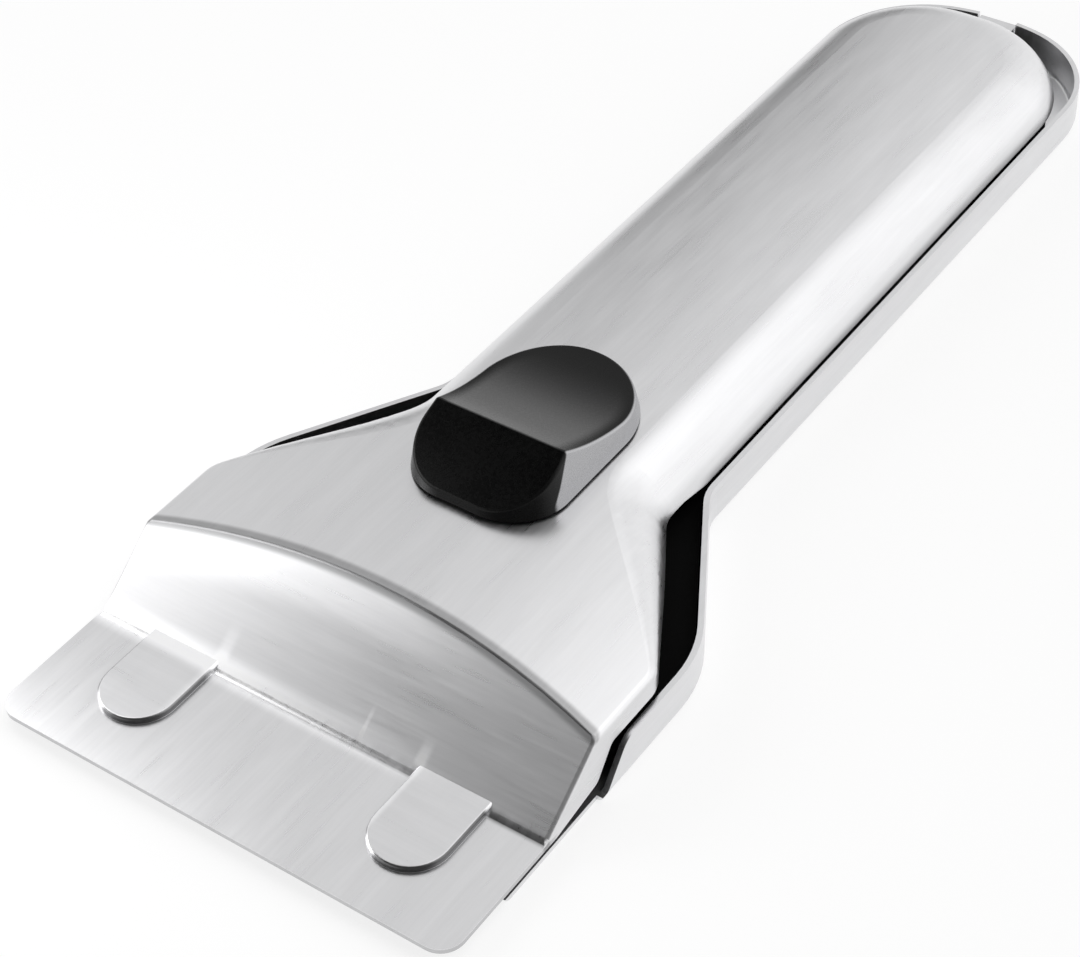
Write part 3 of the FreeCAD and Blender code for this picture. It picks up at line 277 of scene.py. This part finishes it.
@dataclass(frozen=True)
class RubbedSteel(Finish):
    """Bare steel with rubbing marks: fine scratches, and broader streaks between them."""

    metallic: float = 1.0
    grain: Grain = Grain.LENGTHWAYS
    mark_scale: float = 2600.0
    mark_depth: float = 0.2 * MICRON
    mark_strength: float = 0.5
    streak_breadth: float = 6.0
    roughness_swing: float = 0.12
    scratch_swing: float = 0.25
    streak_swing: float = 0.5
    tone_reach: float = 0.38

    def surface_marks(self, writer: ShaderWriter, place: bpy.types.NodeSocket,
                      grain: Grain) -> tuple[Signal, Signal]:
        """The marks that rubbing left.

        Args:
            writer: the material's writer.
            place: the point of the surface.
            grain: the way of the rubbing.

        Returns:
            The scratches and the streaks, both about 0.
        """
        scratches = writer.noise(writer.stretched(place, grain.value), self.mark_scale)
        streaks = writer.noise(writer.stretched(place, grain.softer()),
                               self.mark_scale / self.streak_breadth, detail=3.0, roughness=0.6)
        return scratches - 0.5, streaks - 0.5

    def finish(self, writer: ShaderWriter, surface: bpy.types.Node, shade: Signal | float,
               scratches: Signal, streaks: Signal) -> None:
        """Feed the surface its tone, roughness and relief.

        Args:
            writer: the material's writer.
            surface: the surface node.
            shade: painted light and shade: 0 as written, 1 the lightest, below 0 darker.
            scratches: fine marks about 0.
            streaks: broad marks about 0.
        """
        lightest = 1.0 + self.tone_reach
        marks = scratches * self.scratch_swing + streaks * self.streak_swing
        share = ((shade + marks) * self.tone_reach + 1.0) * (1.0 / lightest)
        light = tuple(value * lightest for value in self.tone)
        rough = (scratches + streaks) * self.roughness_swing + self.roughness
        relief = writer.bump(scratches, self.mark_depth, self.mark_strength)
        writer.feed(surface.inputs["Base Color"], writer.blend(share, BLACK, light))
        writer.feed(surface.inputs["Roughness"], rough)
        writer.feed(surface.inputs["Normal"], relief)

    def build(self) -> bpy.types.Material:
        """Write the material's nodes."""
        material, writer, surface = self.shader()
        scratches, streaks = self.surface_marks(writer, writer.place(), self.grain)
        self.finish(writer, surface, 0.0, scratches, streaks)
        return material


class Measure(Enum):
    """A way to say where a point of the lid lies."""

    SIDEWAYS = "to the right of the middle line"
    ABOVE_TABLE = "above the table"
    BEHIND_FOLD = "behind the fold line"
    ABOVE_LIP = "above the lip's top"
    BEHIND_SLOPE = "behind the sloped face's plane"
    UNDER_CROWN = "below the arched crown"
    ACROSS_CHANNEL = "to the right of the nearer channel's middle"
    BEHIND_NOSE = "behind the channels' closed front ends"


@dataclass(frozen=True)
class LidMark:
    """A painted highlight or painted shade on the lid, or a plain mask of one of its faces.

    Its strength is above 0 where it is lighter. A stripe is given as its middle, half its width and
    the width of its soft edges, and a fade as where it starts and where it is full.
    """

    strength: float
    stripes: tuple[tuple[Measure, float, float, float], ...]
    fades: tuple[tuple[Measure, float, float], ...]

    def shade(self, measures: dict[Measure, Signal]) -> Signal:
        """The mark's tone.

        Args:
            measures: where the point lies, by each measure.

        Returns:
            The strength where all stripes and fades are full, and 0 outside.
        """
        shares = [measures[measure].band(*stripe) for measure, *stripe in self.stripes]
        shares += [measures[measure].ramp(*fade) for measure, *fade in self.fades]
        return math.prod(shares, start=self.strength)


SLOPE_FRONT = (Measure.BEHIND_SLOPE, 0.4 * MM, 0.25 * MM)
SLOPE_FOOT = (Measure.ABOVE_LIP, 0.3 * MM, 0.8 * MM)
CHANNEL_WALL = (Measure.ABOVE_LIP, 0.33 * MM, 0.29 * MM, 0.03 * MM)
CHANNEL_REACH = (Measure.BEHIND_FOLD, 0.3 * MM, -0.5 * MM)

SLOPED_FACE = LidMark(1.0, (), (SLOPE_FRONT, SLOPE_FOOT))
# Painted highlight: a light band along the fold, fading out towards the right.
FOLD_LIGHT = LidMark(
    1.0, ((Measure.BEHIND_FOLD, 0.4 * MM, 0.5 * MM, 1.4 * MM),),
    ((Measure.SIDEWAYS, 17.0 * MM, 2.0 * MM),))
# Painted shade: a dark line in the fold at its right end.
FOLD_CREASE_SHADE = LidMark(
    -0.8, ((Measure.BEHIND_FOLD, 0.0, 0.25 * MM, 0.5 * MM),),
    ((Measure.SIDEWAYS, 20.5 * MM, 22.0 * MM),))
# Painted shade: a dark line along the crest, where the top meets the sloped face.
CREST_SHADE = LidMark(
    -1.2, ((Measure.BEHIND_SLOPE, 0.3 * MM, 0.2 * MM, 0.4 * MM),),
    ((Measure.UNDER_CROWN, 0.7 * MM, 0.3 * MM),))
# Painted highlight: a light band on the sloped face below the crest, fading out towards the right.
LIGHT_UNDER_CREST = LidMark(
    0.9, ((Measure.UNDER_CROWN, 2.0 * MM, 1.4 * MM, 0.5 * MM),),
    (SLOPE_FRONT, (Measure.UNDER_CROWN, 3.8 * MM, 1.6 * MM),
     (Measure.SIDEWAYS, 24.0 * MM, -2.0 * MM)))
# Painted highlights: narrow upright light stripes on the sloped face, near its corners and right of
# the middle.
LEFT_CORNER_HIGHLIGHT = LidMark(
    0.5, ((Measure.SIDEWAYS, -12.3 * MM, 0.2 * MM, 0.9 * MM),),
    (SLOPE_FRONT, SLOPE_FOOT, (Measure.ABOVE_TABLE, 5.5 * MM, 3.2 * MM)))
RIGHT_CORNER_HIGHLIGHT = LidMark(
    1.0, ((Measure.SIDEWAYS, 12.3 * MM, 0.2 * MM, 0.7 * MM),),
    (SLOPE_FRONT, SLOPE_FOOT, (Measure.ABOVE_TABLE, 4.4 * MM, 3.0 * MM)))
SMALL_HIGHLIGHT = LidMark(
    0.6, ((Measure.SIDEWAYS, 5.4 * MM, 0.05 * MM, 0.3 * MM),),
    (SLOPE_FRONT, SLOPE_FOOT, (Measure.ABOVE_TABLE, 4.6 * MM, 3.6 * MM)))
# Painted shade on the channels' walls, darker on their right, and a painted highlight at their front
# left.
CHANNEL_SHADOW = LidMark(-1.2, (CHANNEL_WALL,), (CHANNEL_REACH,))
CHANNEL_RIGHT_SHADOW = LidMark(
    -0.9, (CHANNEL_WALL,), (CHANNEL_REACH, (Measure.ACROSS_CHANNEL, -3.5 * MM, 1.5 * MM)))
CHANNEL_NOSE_LIGHT = LidMark(
    2.6, (CHANNEL_WALL, (Measure.ACROSS_CHANNEL, -2.4 * MM, 0.5 * MM, 0.9 * MM)),
    (CHANNEL_REACH, (Measure.BEHIND_NOSE, 2.4 * MM, 1.2 * MM)))
LIP_EDGE_SHADOW = LidMark(
    -0.7, (),
    ((Measure.ABOVE_LIP, -0.04 * MM, -0.12 * MM), (Measure.BEHIND_FOLD, 2.0 * MM, 1.0 * MM)))
RIM_SHADOW = LidMark(
    -1.2, (),
    ((Measure.BEHIND_FOLD, 43.0 * MM, 47.0 * MM), (Measure.ABOVE_TABLE, 6.3 * MM, 5.3 * MM)))


@dataclass(frozen=True)
class PressedLidSteel(RubbedSteel):
    """The lid's satin steel, with painted highlights and painted shade along its folds and edges."""

    fold_y: float = -62.32 * MM
    lip_z: float = 2.0 * MM
    slope_run: float = 8.31 * MM
    slope_rise: float = 6.28 * MM
    crown_z: float = 10.75 * MM
    crown_radius: float = 148.0 * MM
    channel_middle_x: float = 16.6 * MM
    channel_nose_y: float = -72.3 * MM
    # The painted highlights and painted shade, added up into the lid's tone.
    marks: tuple[LidMark, ...] = (
        FOLD_LIGHT, FOLD_CREASE_SHADE, CREST_SHADE, LIGHT_UNDER_CREST, LEFT_CORNER_HIGHLIGHT, RIGHT_CORNER_HIGHLIGHT,
        SMALL_HIGHLIGHT, CHANNEL_SHADOW, CHANNEL_RIGHT_SHADOW, CHANNEL_NOSE_LIGHT, LIP_EDGE_SHADOW,
        RIM_SHADOW)

    def measures(self, writer: ShaderWriter, place: bpy.types.NodeSocket) -> dict[Measure, Signal]:
        """Where the point of the surface lies.

        Args:
            writer: the material's writer.
            place: the point of the surface.

        Returns:
            The distance by each measure, in metres.
        """
        x, y, z = writer.axes(place)
        slope_length = math.hypot(self.slope_run, self.slope_rise)
        behind_fold = y - self.fold_y
        above_lip = z - self.lip_z
        crown_fall = (x * x) * (0.5 / self.crown_radius)
        return {
            Measure.SIDEWAYS: x,
            Measure.ABOVE_TABLE: z,
            Measure.BEHIND_FOLD: behind_fold,
            Measure.ABOVE_LIP: above_lip,
            Measure.BEHIND_SLOPE: (behind_fold * (self.slope_rise / slope_length)
                                   - above_lip * (self.slope_run / slope_length)),
            Measure.UNDER_CROWN: self.crown_z - crown_fall - z,
            Measure.ACROSS_CHANNEL: x - writer.maths("SIGN", x) * self.channel_middle_x,
            Measure.BEHIND_NOSE: y - self.channel_nose_y,
        }

    def build(self) -> bpy.types.Material:
        """Write the material's nodes."""
        material, writer, surface = self.shader()
        place = writer.place()
        measures = self.measures(writer, place)
        on_slope = SLOPED_FACE.shade(measures)
        along = self.surface_marks(writer, place, Grain.LENGTHWAYS)
        across = self.surface_marks(writer, place, Grain.CROSSWAYS)
        scratches, streaks = (first + on_slope * (second - first)
                              for first, second in zip(along, across))
        # The painted highlights and painted shade of all the marks, added up.
        shade = sum(mark.shade(measures) for mark in self.marks)
        self.finish(writer, surface, shade, scratches, streaks)
        return material


@dataclass(frozen=True)
class MouldedPlastic(Finish):
    """Black plastic with the fine grain of its mould."""

    grain_scale: float = 3000.0
    grain_depth: float = 6.0 * MICRON
    grain_strength: float = 0.3
    grain_roughness: float = 0.12
    blotch_scale: float = 220.0
    blotch_roughness: float = 0.08
    fleck: float = 0.25
    fleck_fade: Fade = (0.35, 0.65)

    def grained(self, writer: ShaderWriter, surface: bpy.types.Node,
                place: bpy.types.NodeSocket) -> Signal:
        """Feed the surface its grain.

        Args:
            writer: the material's writer.
            surface: the surface node.
            place: the point of the surface.

        Returns:
            The grain, of 0 to 1.
        """
        fine = writer.noise(place, self.grain_scale, roughness=0.6)
        blotches = writer.noise(place, self.blotch_scale)
        rough = ((fine - 0.5) * self.grain_roughness + (blotches - 0.5) * self.blotch_roughness
                 + self.roughness)
        relief = writer.bump(fine, self.grain_depth, self.grain_strength)
        writer.feed(surface.inputs["Roughness"], rough)
        writer.feed(surface.inputs["Normal"], relief)
        return fine.ramp(*self.fleck_fade)

    def flecked(self, writer: ShaderWriter, fine: Signal, tone: Colour) -> bpy.types.NodeSocket:
        """A tone that the grain makes a little darker and lighter."""
        dark = tuple(value * (1.0 - self.fleck) for value in tone)
        light = tuple(value * (1.0 + self.fleck) for value in tone)
        return writer.blend(fine, dark, light)

    def build(self) -> bpy.types.Material:
        """Write the material's nodes."""
        material, writer, surface = self.shader()
        fine = self.grained(writer, surface, writer.place())
        writer.feed(surface.inputs["Base Color"], self.flecked(writer, fine, self.tone))
        return material


@dataclass(frozen=True)
class TwoTonePlastic(MouldedPlastic):
    """Black plastic, a painted sheen in the thumb hollow, and a grey metallic coat behind the ridge.

    The coat lies on the side walls. A fade is given as where it starts and where it is full.
    """

    coat: Colour = (0.40, 0.40, 0.41)
    # The tone of the painted sheen in the thumb hollow.
    hollow_sheen: Colour = (0.12, 0.12, 0.12)
    ridge_y: float = -29.95 * MM
    ridge_z: float = 15.85 * MM
    edge_lean: float = 0.75
    half_width: float = 9.05 * MM
    base_z: float = 10.45 * MM
    wall_lean: float = math.radians(11.0)
    end_middle_y: float = -21.3 * MM
    ridge_fade: Fade = (-0.1 * MM, 0.2 * MM)
    wall_fade: Fade = (-0.3 * MM, -0.12 * MM)
    hollow_side_fade: Fade = (-0.3 * MM, -2.0 * MM)
    hollow_rear_fade: Fade = (17.0 * MM, 5.0 * MM)

    def build(self) -> bpy.types.Material:
        """Write the material's nodes."""
        material, writer, surface = self.shader()
        place = writer.place()
        fine = self.grained(writer, surface, place)
        x, y, z = writer.axes(place)
        behind_ridge = y - self.ridge_y - (z - self.ridge_z) * self.edge_lean
        in_round_end = (y - self.end_middle_y).greater(0.0)
        from_middle = (x * x + in_round_end * in_round_end) ** 0.5
        outward = from_middle + (z - self.base_z) * math.tan(self.wall_lean) - self.half_width
        back_part = behind_ridge.ramp(*self.ridge_fade)
        coated = back_part * outward.ramp(*self.wall_fade)
        # Painted sheen in the thumb hollow: lighter near the ridge, fading out towards the rear.
        hollow = (back_part * outward.ramp(*self.hollow_side_fade)
                  * behind_ridge.ramp(*self.hollow_rear_fade))
        plain = writer.blend(hollow, self.flecked(writer, fine, self.tone), self.hollow_sheen)
        writer.feed(surface.inputs["Base Color"], writer.blend(coated, plain, self.coat))
        writer.feed(surface.inputs["Metallic"], coated)
        return material


PRESSED_TONE: Colour = (0.72, 0.72, 0.73)
ROLLED_TONE: Colour = (0.62, 0.62, 0.64)
LEAF_TONE: Colour = (0.55, 0.55, 0.58)
BLADE_TONE: Colour = (0.66, 0.67, 0.69)
JET_TONE: Colour = (0.002, 0.002, 0.002)
LID_STEEL = PressedLidSteel("satin_lid_steel", "satin_steel", PRESSED_TONE, roughness=0.30)
TRAY_STEEL = RubbedSteel("satin_tray_steel", "satin_steel", PRESSED_TONE, roughness=0.32)
FASTENER_STEEL = RubbedSteel("turned_fastener_steel", "plain_steel", ROLLED_TONE, roughness=0.34,
                             grain=Grain.EVEN, mark_scale=9000.0)
PLATE_STEEL = RubbedSteel("rolled_plate_steel", "plain_steel", ROLLED_TONE, roughness=0.36)
LEAF_STEEL = RubbedSteel("spring_leaf_steel", "spring_steel", LEAF_TONE, roughness=0.28,
                         grain=Grain.CROSSWAYS)
BLADE_STEEL = RubbedSteel("ground_blade_steel", "blade_steel", BLADE_TONE, roughness=0.24,
                          mark_scale=9000.0)
FRAME_PLASTIC = MouldedPlastic("matt_frame_plastic", "black_plastic", JET_TONE, roughness=0.8,
                               ior=1.15)
BUTTON_PLASTIC = TwoTonePlastic("two_tone_button_plastic", "grip_plastic", JET_TONE, roughness=0.27,
                                ior=1.3, grain_scale=2600.0, grain_depth=2.0 * MICRON)


# ---- the scraper's sub-assemblies ----------------------------------------------------------------

@dataclass
class SubAssembly:
    """Pieces that belong together on the bench, each with its finish."""

    title: str
    finishes: dict[str, Finish] = field(default_factory=dict)

    def build(self) -> list[bpy.types.Object]:
        """Dress the sub-assembly's pieces.

        Returns:
            The pieces.
        """
        pieces = []
        for node, finish in self.finishes.items():
            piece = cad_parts[node]
            finish.dress(piece)
            pieces.append(piece)
            log.info("%s: %s in %s", self.title, node, finish.name)
        return pieces


@dataclass
class Shells(SubAssembly):
    """The pressed lid and tray, and the tongue that hooks them together."""

    title: str = "shells"
    finishes: dict[str, Finish] = field(default_factory=lambda: {
        "upper_shell": LID_STEEL, "lower_shell": TRAY_STEEL, "rear_tongue": TRAY_STEEL})


@dataclass
class ShellFasteners(SubAssembly):
    """The bushes under the lid and the screws that reach them through the tray."""

    title: str = "shell fasteners"
    finishes: dict[str, Finish] = field(default_factory=lambda: {
        "lid_bushes": FASTENER_STEEL, "shell_screws": FASTENER_STEEL})


@dataclass
class InnerMouldings(SubAssembly):
    """The guide frame in the head and the spacer in the handle."""

    title: str = "inner mouldings"
    finishes: dict[str, Finish] = field(default_factory=lambda: {
        "guide_frame": FRAME_PLASTIC, "handle_spacer": FRAME_PLASTIC})


@dataclass
class ThumbSlider(SubAssembly):
    """The thumb button with the carriage, spring and screws under it."""

    title: str = "thumb slider"
    finishes: dict[str, Finish] = field(default_factory=lambda: {
        "thumb_button": BUTTON_PLASTIC, "carriage": FRAME_PLASTIC, "button_screw": FASTENER_STEEL,
        "detent_spring": LEAF_STEEL, "spring_pins": FASTENER_STEEL})


@dataclass
class BladeUnit(SubAssembly):
    """The blade, its holder, and what joins them."""

    title: str = "blade unit"
    finishes: dict[str, Finish] = field(default_factory=lambda: {
        "blade": BLADE_STEEL, "blade_holder": PLATE_STEEL, "blade_studs": FASTENER_STEEL,
        "holder_rivets": FASTENER_STEEL})


# ---- studio --------------------------------------------------------------------------------------

@dataclass(frozen=True)
class Panel:
    """A soft light panel that faces a target on the scraper."""

    name: str
    spot: Point
    target: Point
    width: float
    height: float
    radiance: float

    def build(self) -> bpy.types.Object:
        """Hang the panel and turn it to the scraper.

        Returns:
            The light's object.
        """
        lamp = bpy.data.lights.new(self.name, "AREA")
        lamp.shape = "RECTANGLE"
        lamp.size = self.width
        lamp.size_y = self.height
        lamp.energy = self.radiance * math.pi * self.width * self.height
        panel = bpy.data.objects.new(self.name, lamp)
        bpy.context.collection.objects.link(panel)
        away = Vector(self.spot) - Vector(self.target)
        turned = away.to_track_quat("Z", "Y").to_matrix().to_4x4()
        turned.translation = Vector(self.spot)
        panel.matrix_world = turned
        return panel


@dataclass(frozen=True)
class PhotographCamera:
    """The photograph's camera: where it stands, its turns and its lens."""

    azimuth: float = math.radians(38.04982)
    elevation: float = math.radians(42.22602)
    roll: float = math.radians(-4.13947)
    distance: float = 263.06386 * MM
    sideways: float = -4.13112 * MM
    upwards: float = -2.45889 * MM
    aim: Point = (0.0, -17.3 * MM, 2.0 * MM)
    focal_pixels: float = 2482.79428
    image_width: float = 1080.0
    sensor_width: float = 36.0
    nearest: float = 0.01
    farthest: float = 50.0

    def build(self) -> bpy.types.Object:
        """Set up the camera.

        Returns:
            The camera's object.
        """
        back = Vector((math.sin(self.azimuth) * math.cos(self.elevation),
                       -math.cos(self.azimuth) * math.cos(self.elevation),
                       math.sin(self.elevation)))
        right = Vector((math.cos(self.azimuth), math.sin(self.azimuth), 0.0))
        up = back.cross(right)
        cosine, sine = math.cos(self.roll), math.sin(self.roll)
        axes = Matrix((right * cosine + up * sine, up * cosine - right * sine, back)).transposed()
        lens = bpy.data.cameras.new("photograph_camera")
        lens.sensor_fit = "HORIZONTAL"
        lens.sensor_width = self.sensor_width
        lens.lens = self.focal_pixels / self.image_width * self.sensor_width
        lens.clip_start = self.nearest
        lens.clip_end = self.farthest
        camera = bpy.data.objects.new("photograph_camera", lens)
        bpy.context.collection.objects.link(camera)
        offset = Vector((self.sideways, self.upwards, self.distance))
        matrix = axes.to_4x4()
        matrix.translation = axes @ offset + Vector(self.aim)
        camera.matrix_world = matrix
        bpy.context.scene.camera = camera
        return camera


@dataclass(frozen=True)
class WhiteTable:
    """The white table that the scraper rests on.

    The camera sees its glow, and steel mirrors its gleam. The shadow is the share of plain paint
    that is mixed into both, and that the scraper's shadow darkens.
    """

    half_width: float = 3.0
    paint: Colour = (0.86, 0.86, 0.86)
    shadow: float = 0.35
    glow: float = 1.15
    gleam: float = 1.22

    def finish(self) -> bpy.types.Material:
        """Write the table's material.

        Returns:
            The material.
        """
        material = bpy.data.materials.new("white_table")
        material.use_nodes = True
        writer = ShaderWriter(material.node_tree)
        rays = writer.node("ShaderNodeLightPath").outputs
        gloss = Signal(writer, rays["Is Glossy Ray"])
        seen = Signal(writer, rays["Is Camera Ray"]).greater(gloss)
        level = gloss * (self.gleam - self.glow) + self.glow
        paint = writer.node("ShaderNodeBsdfDiffuse", inputs={"Color": self.paint})
        glow = writer.node("ShaderNodeEmission", inputs={"Color": WHITE, "Strength": level})
        mixed = writer.node("ShaderNodeMixShader", inputs={
            0: seen * (1.0 - self.shadow), 1: paint.outputs[0], 2: glow.outputs[0]})
        writer.node("ShaderNodeOutputMaterial", inputs={"Surface": mixed.outputs[0]})
        return material

    def build(self) -> bpy.types.Object:
        """Lay the table.

        Returns:
            The table's object.
        """
        shape = bmesh.new()
        bmesh.ops.create_grid(shape, x_segments=1, y_segments=1, size=self.half_width)
        mesh = bpy.data.meshes.new("white_table")
        shape.to_mesh(mesh)
        shape.free()
        table = bpy.data.objects.new("white_table", mesh)
        bpy.context.collection.objects.link(table)
        mesh.materials.append(self.finish())
        return table


@dataclass(frozen=True)
class SoftRoom:
    """The room's soft light, by the direction from which it comes.

    It is bright at the back right and the front left, and dark in one spot overhead. A fade says
    where a change starts and where it is full, along X (a sweep), Y (a depth) or Z (a rise) of the
    direction. The front's sweep goes along X and Z together.
    """

    back_middle: float = 0.86
    back_right: float = 1.2
    back_sweep: Fade = (-0.45, 0.45)
    back_high: float = 0.42
    high_rise: Fade = (0.64, 0.76)
    high_sweep: Fade = (-0.32, -0.12)
    back_side: float = 0.12
    side_sweep: Fade = (0.2, 0.6)
    left_shade: float = 0.72
    left_shade_depth: Fade = (0.56, 0.72)
    left_shade_sweep: Fade = (-0.36, -0.54)
    front_left: float = 0.85
    front_right: float = 0.2
    front_sweep: Fade = (0.0, 0.35)
    back_depth: Fade = (-0.3, 0.2)
    overhead_direction: Point = (-0.48, -0.10, 0.87)
    overhead_edge: Fade = (0.90, 0.972)
    overhead_dark: float = 0.98

    def level(self, writer: ShaderWriter) -> Signal:
        """How bright the room is.

        Args:
            writer: the room's writer.

        Returns:
            The strength in the direction that a ray takes.
        """
        toward = writer.node("ShaderNodeTexCoord").outputs["Generated"]
        overhead = tuple(Vector(self.overhead_direction).normalized())
        nearness = Signal(writer, writer.node(
            "ShaderNodeVectorMath", {"operation": "DOT_PRODUCT"},
            {0: toward, 1: overhead}).outputs["Value"])
        x, y, z = writer.axes(toward)
        back = x.ramp(*self.back_sweep) * (self.back_right - self.back_middle) + self.back_middle
        back = back + z.ramp(*self.high_rise) * x.ramp(*self.high_sweep) * self.back_high
        back = back + x.ramp(*self.side_sweep) * self.back_side
        shade = y.ramp(*self.left_shade_depth) * x.ramp(*self.left_shade_sweep) * self.left_shade
        back = back * (1.0 - shade)
        front = (x + z).ramp(*self.front_sweep) * (self.front_right - self.front_left)
        front = front + self.front_left
        dark = nearness.ramp(*self.overhead_edge) * self.overhead_dark
        return (front + y.ramp(*self.back_depth) * (back - front)) * (1.0 - dark)

    def build(self) -> bpy.types.World:
        """Light the room, which the camera sees as white.

        Returns:
            The world.
        """
        world = bpy.data.worlds.new("soft_room")
        world.use_nodes = True
        writer = ShaderWriter(world.node_tree)
        level = self.level(writer)
        camera = Signal(writer, writer.node("ShaderNodeLightPath").outputs["Is Camera Ray"])
        background = writer.node("ShaderNodeBackground", inputs={
            "Color": WHITE, "Strength": level + camera * (1.0 - level)})
        writer.node("ShaderNodeOutputWorld", inputs={"Surface": background.outputs[0]})
        bpy.context.scene.world = world
        return world


@dataclass
class Studio:
    """A white table, the light round it and the camera."""

    table: WhiteTable = WhiteTable()
    room: SoftRoom = SoftRoom()
    camera: PhotographCamera = PhotographCamera()
    panels: tuple[Panel, ...] = (
        Panel("slope_panel", spot=(-150.0 * MM, -135.0 * MM, 80.0 * MM),
              target=(-20.0 * MM, -62.0 * MM, 4.0 * MM),
              width=100.0 * MM, height=100.0 * MM, radiance=1.4),
        Panel("fold_bar", spot=(-58.0 * MM, -64.0 * MM, 56.0 * MM),
              target=(-20.0 * MM, -62.0 * MM, 2.0 * MM),
              width=24.0 * MM, height=50.0 * MM, radiance=2.0),
    )

    def build(self) -> None:
        """Build the table, the room, the panels and the camera."""
        self.table.build()
        self.room.build()
        for panel in self.panels:
            panel.build()
        self.camera.build()
        bpy.context.scene.view_settings.view_transform = "Standard"
        log.info("studio: table, room, %d panels and camera", len(self.panels))


# ---- the whole -----------------------------------------------------------------------------------


def main() -> None:
    """Dress the scraper's sub-assemblies in order, then build the studio."""
    for assembly in (Shells(), ShellFasteners(), InnerMouldings(), ThumbSlider(), BladeUnit()):
        pieces = assembly.build()
        log.info("%s: %d pieces", assembly.title, len(pieces))
    Studio().build()


if __name__ == "__main__":
    main()
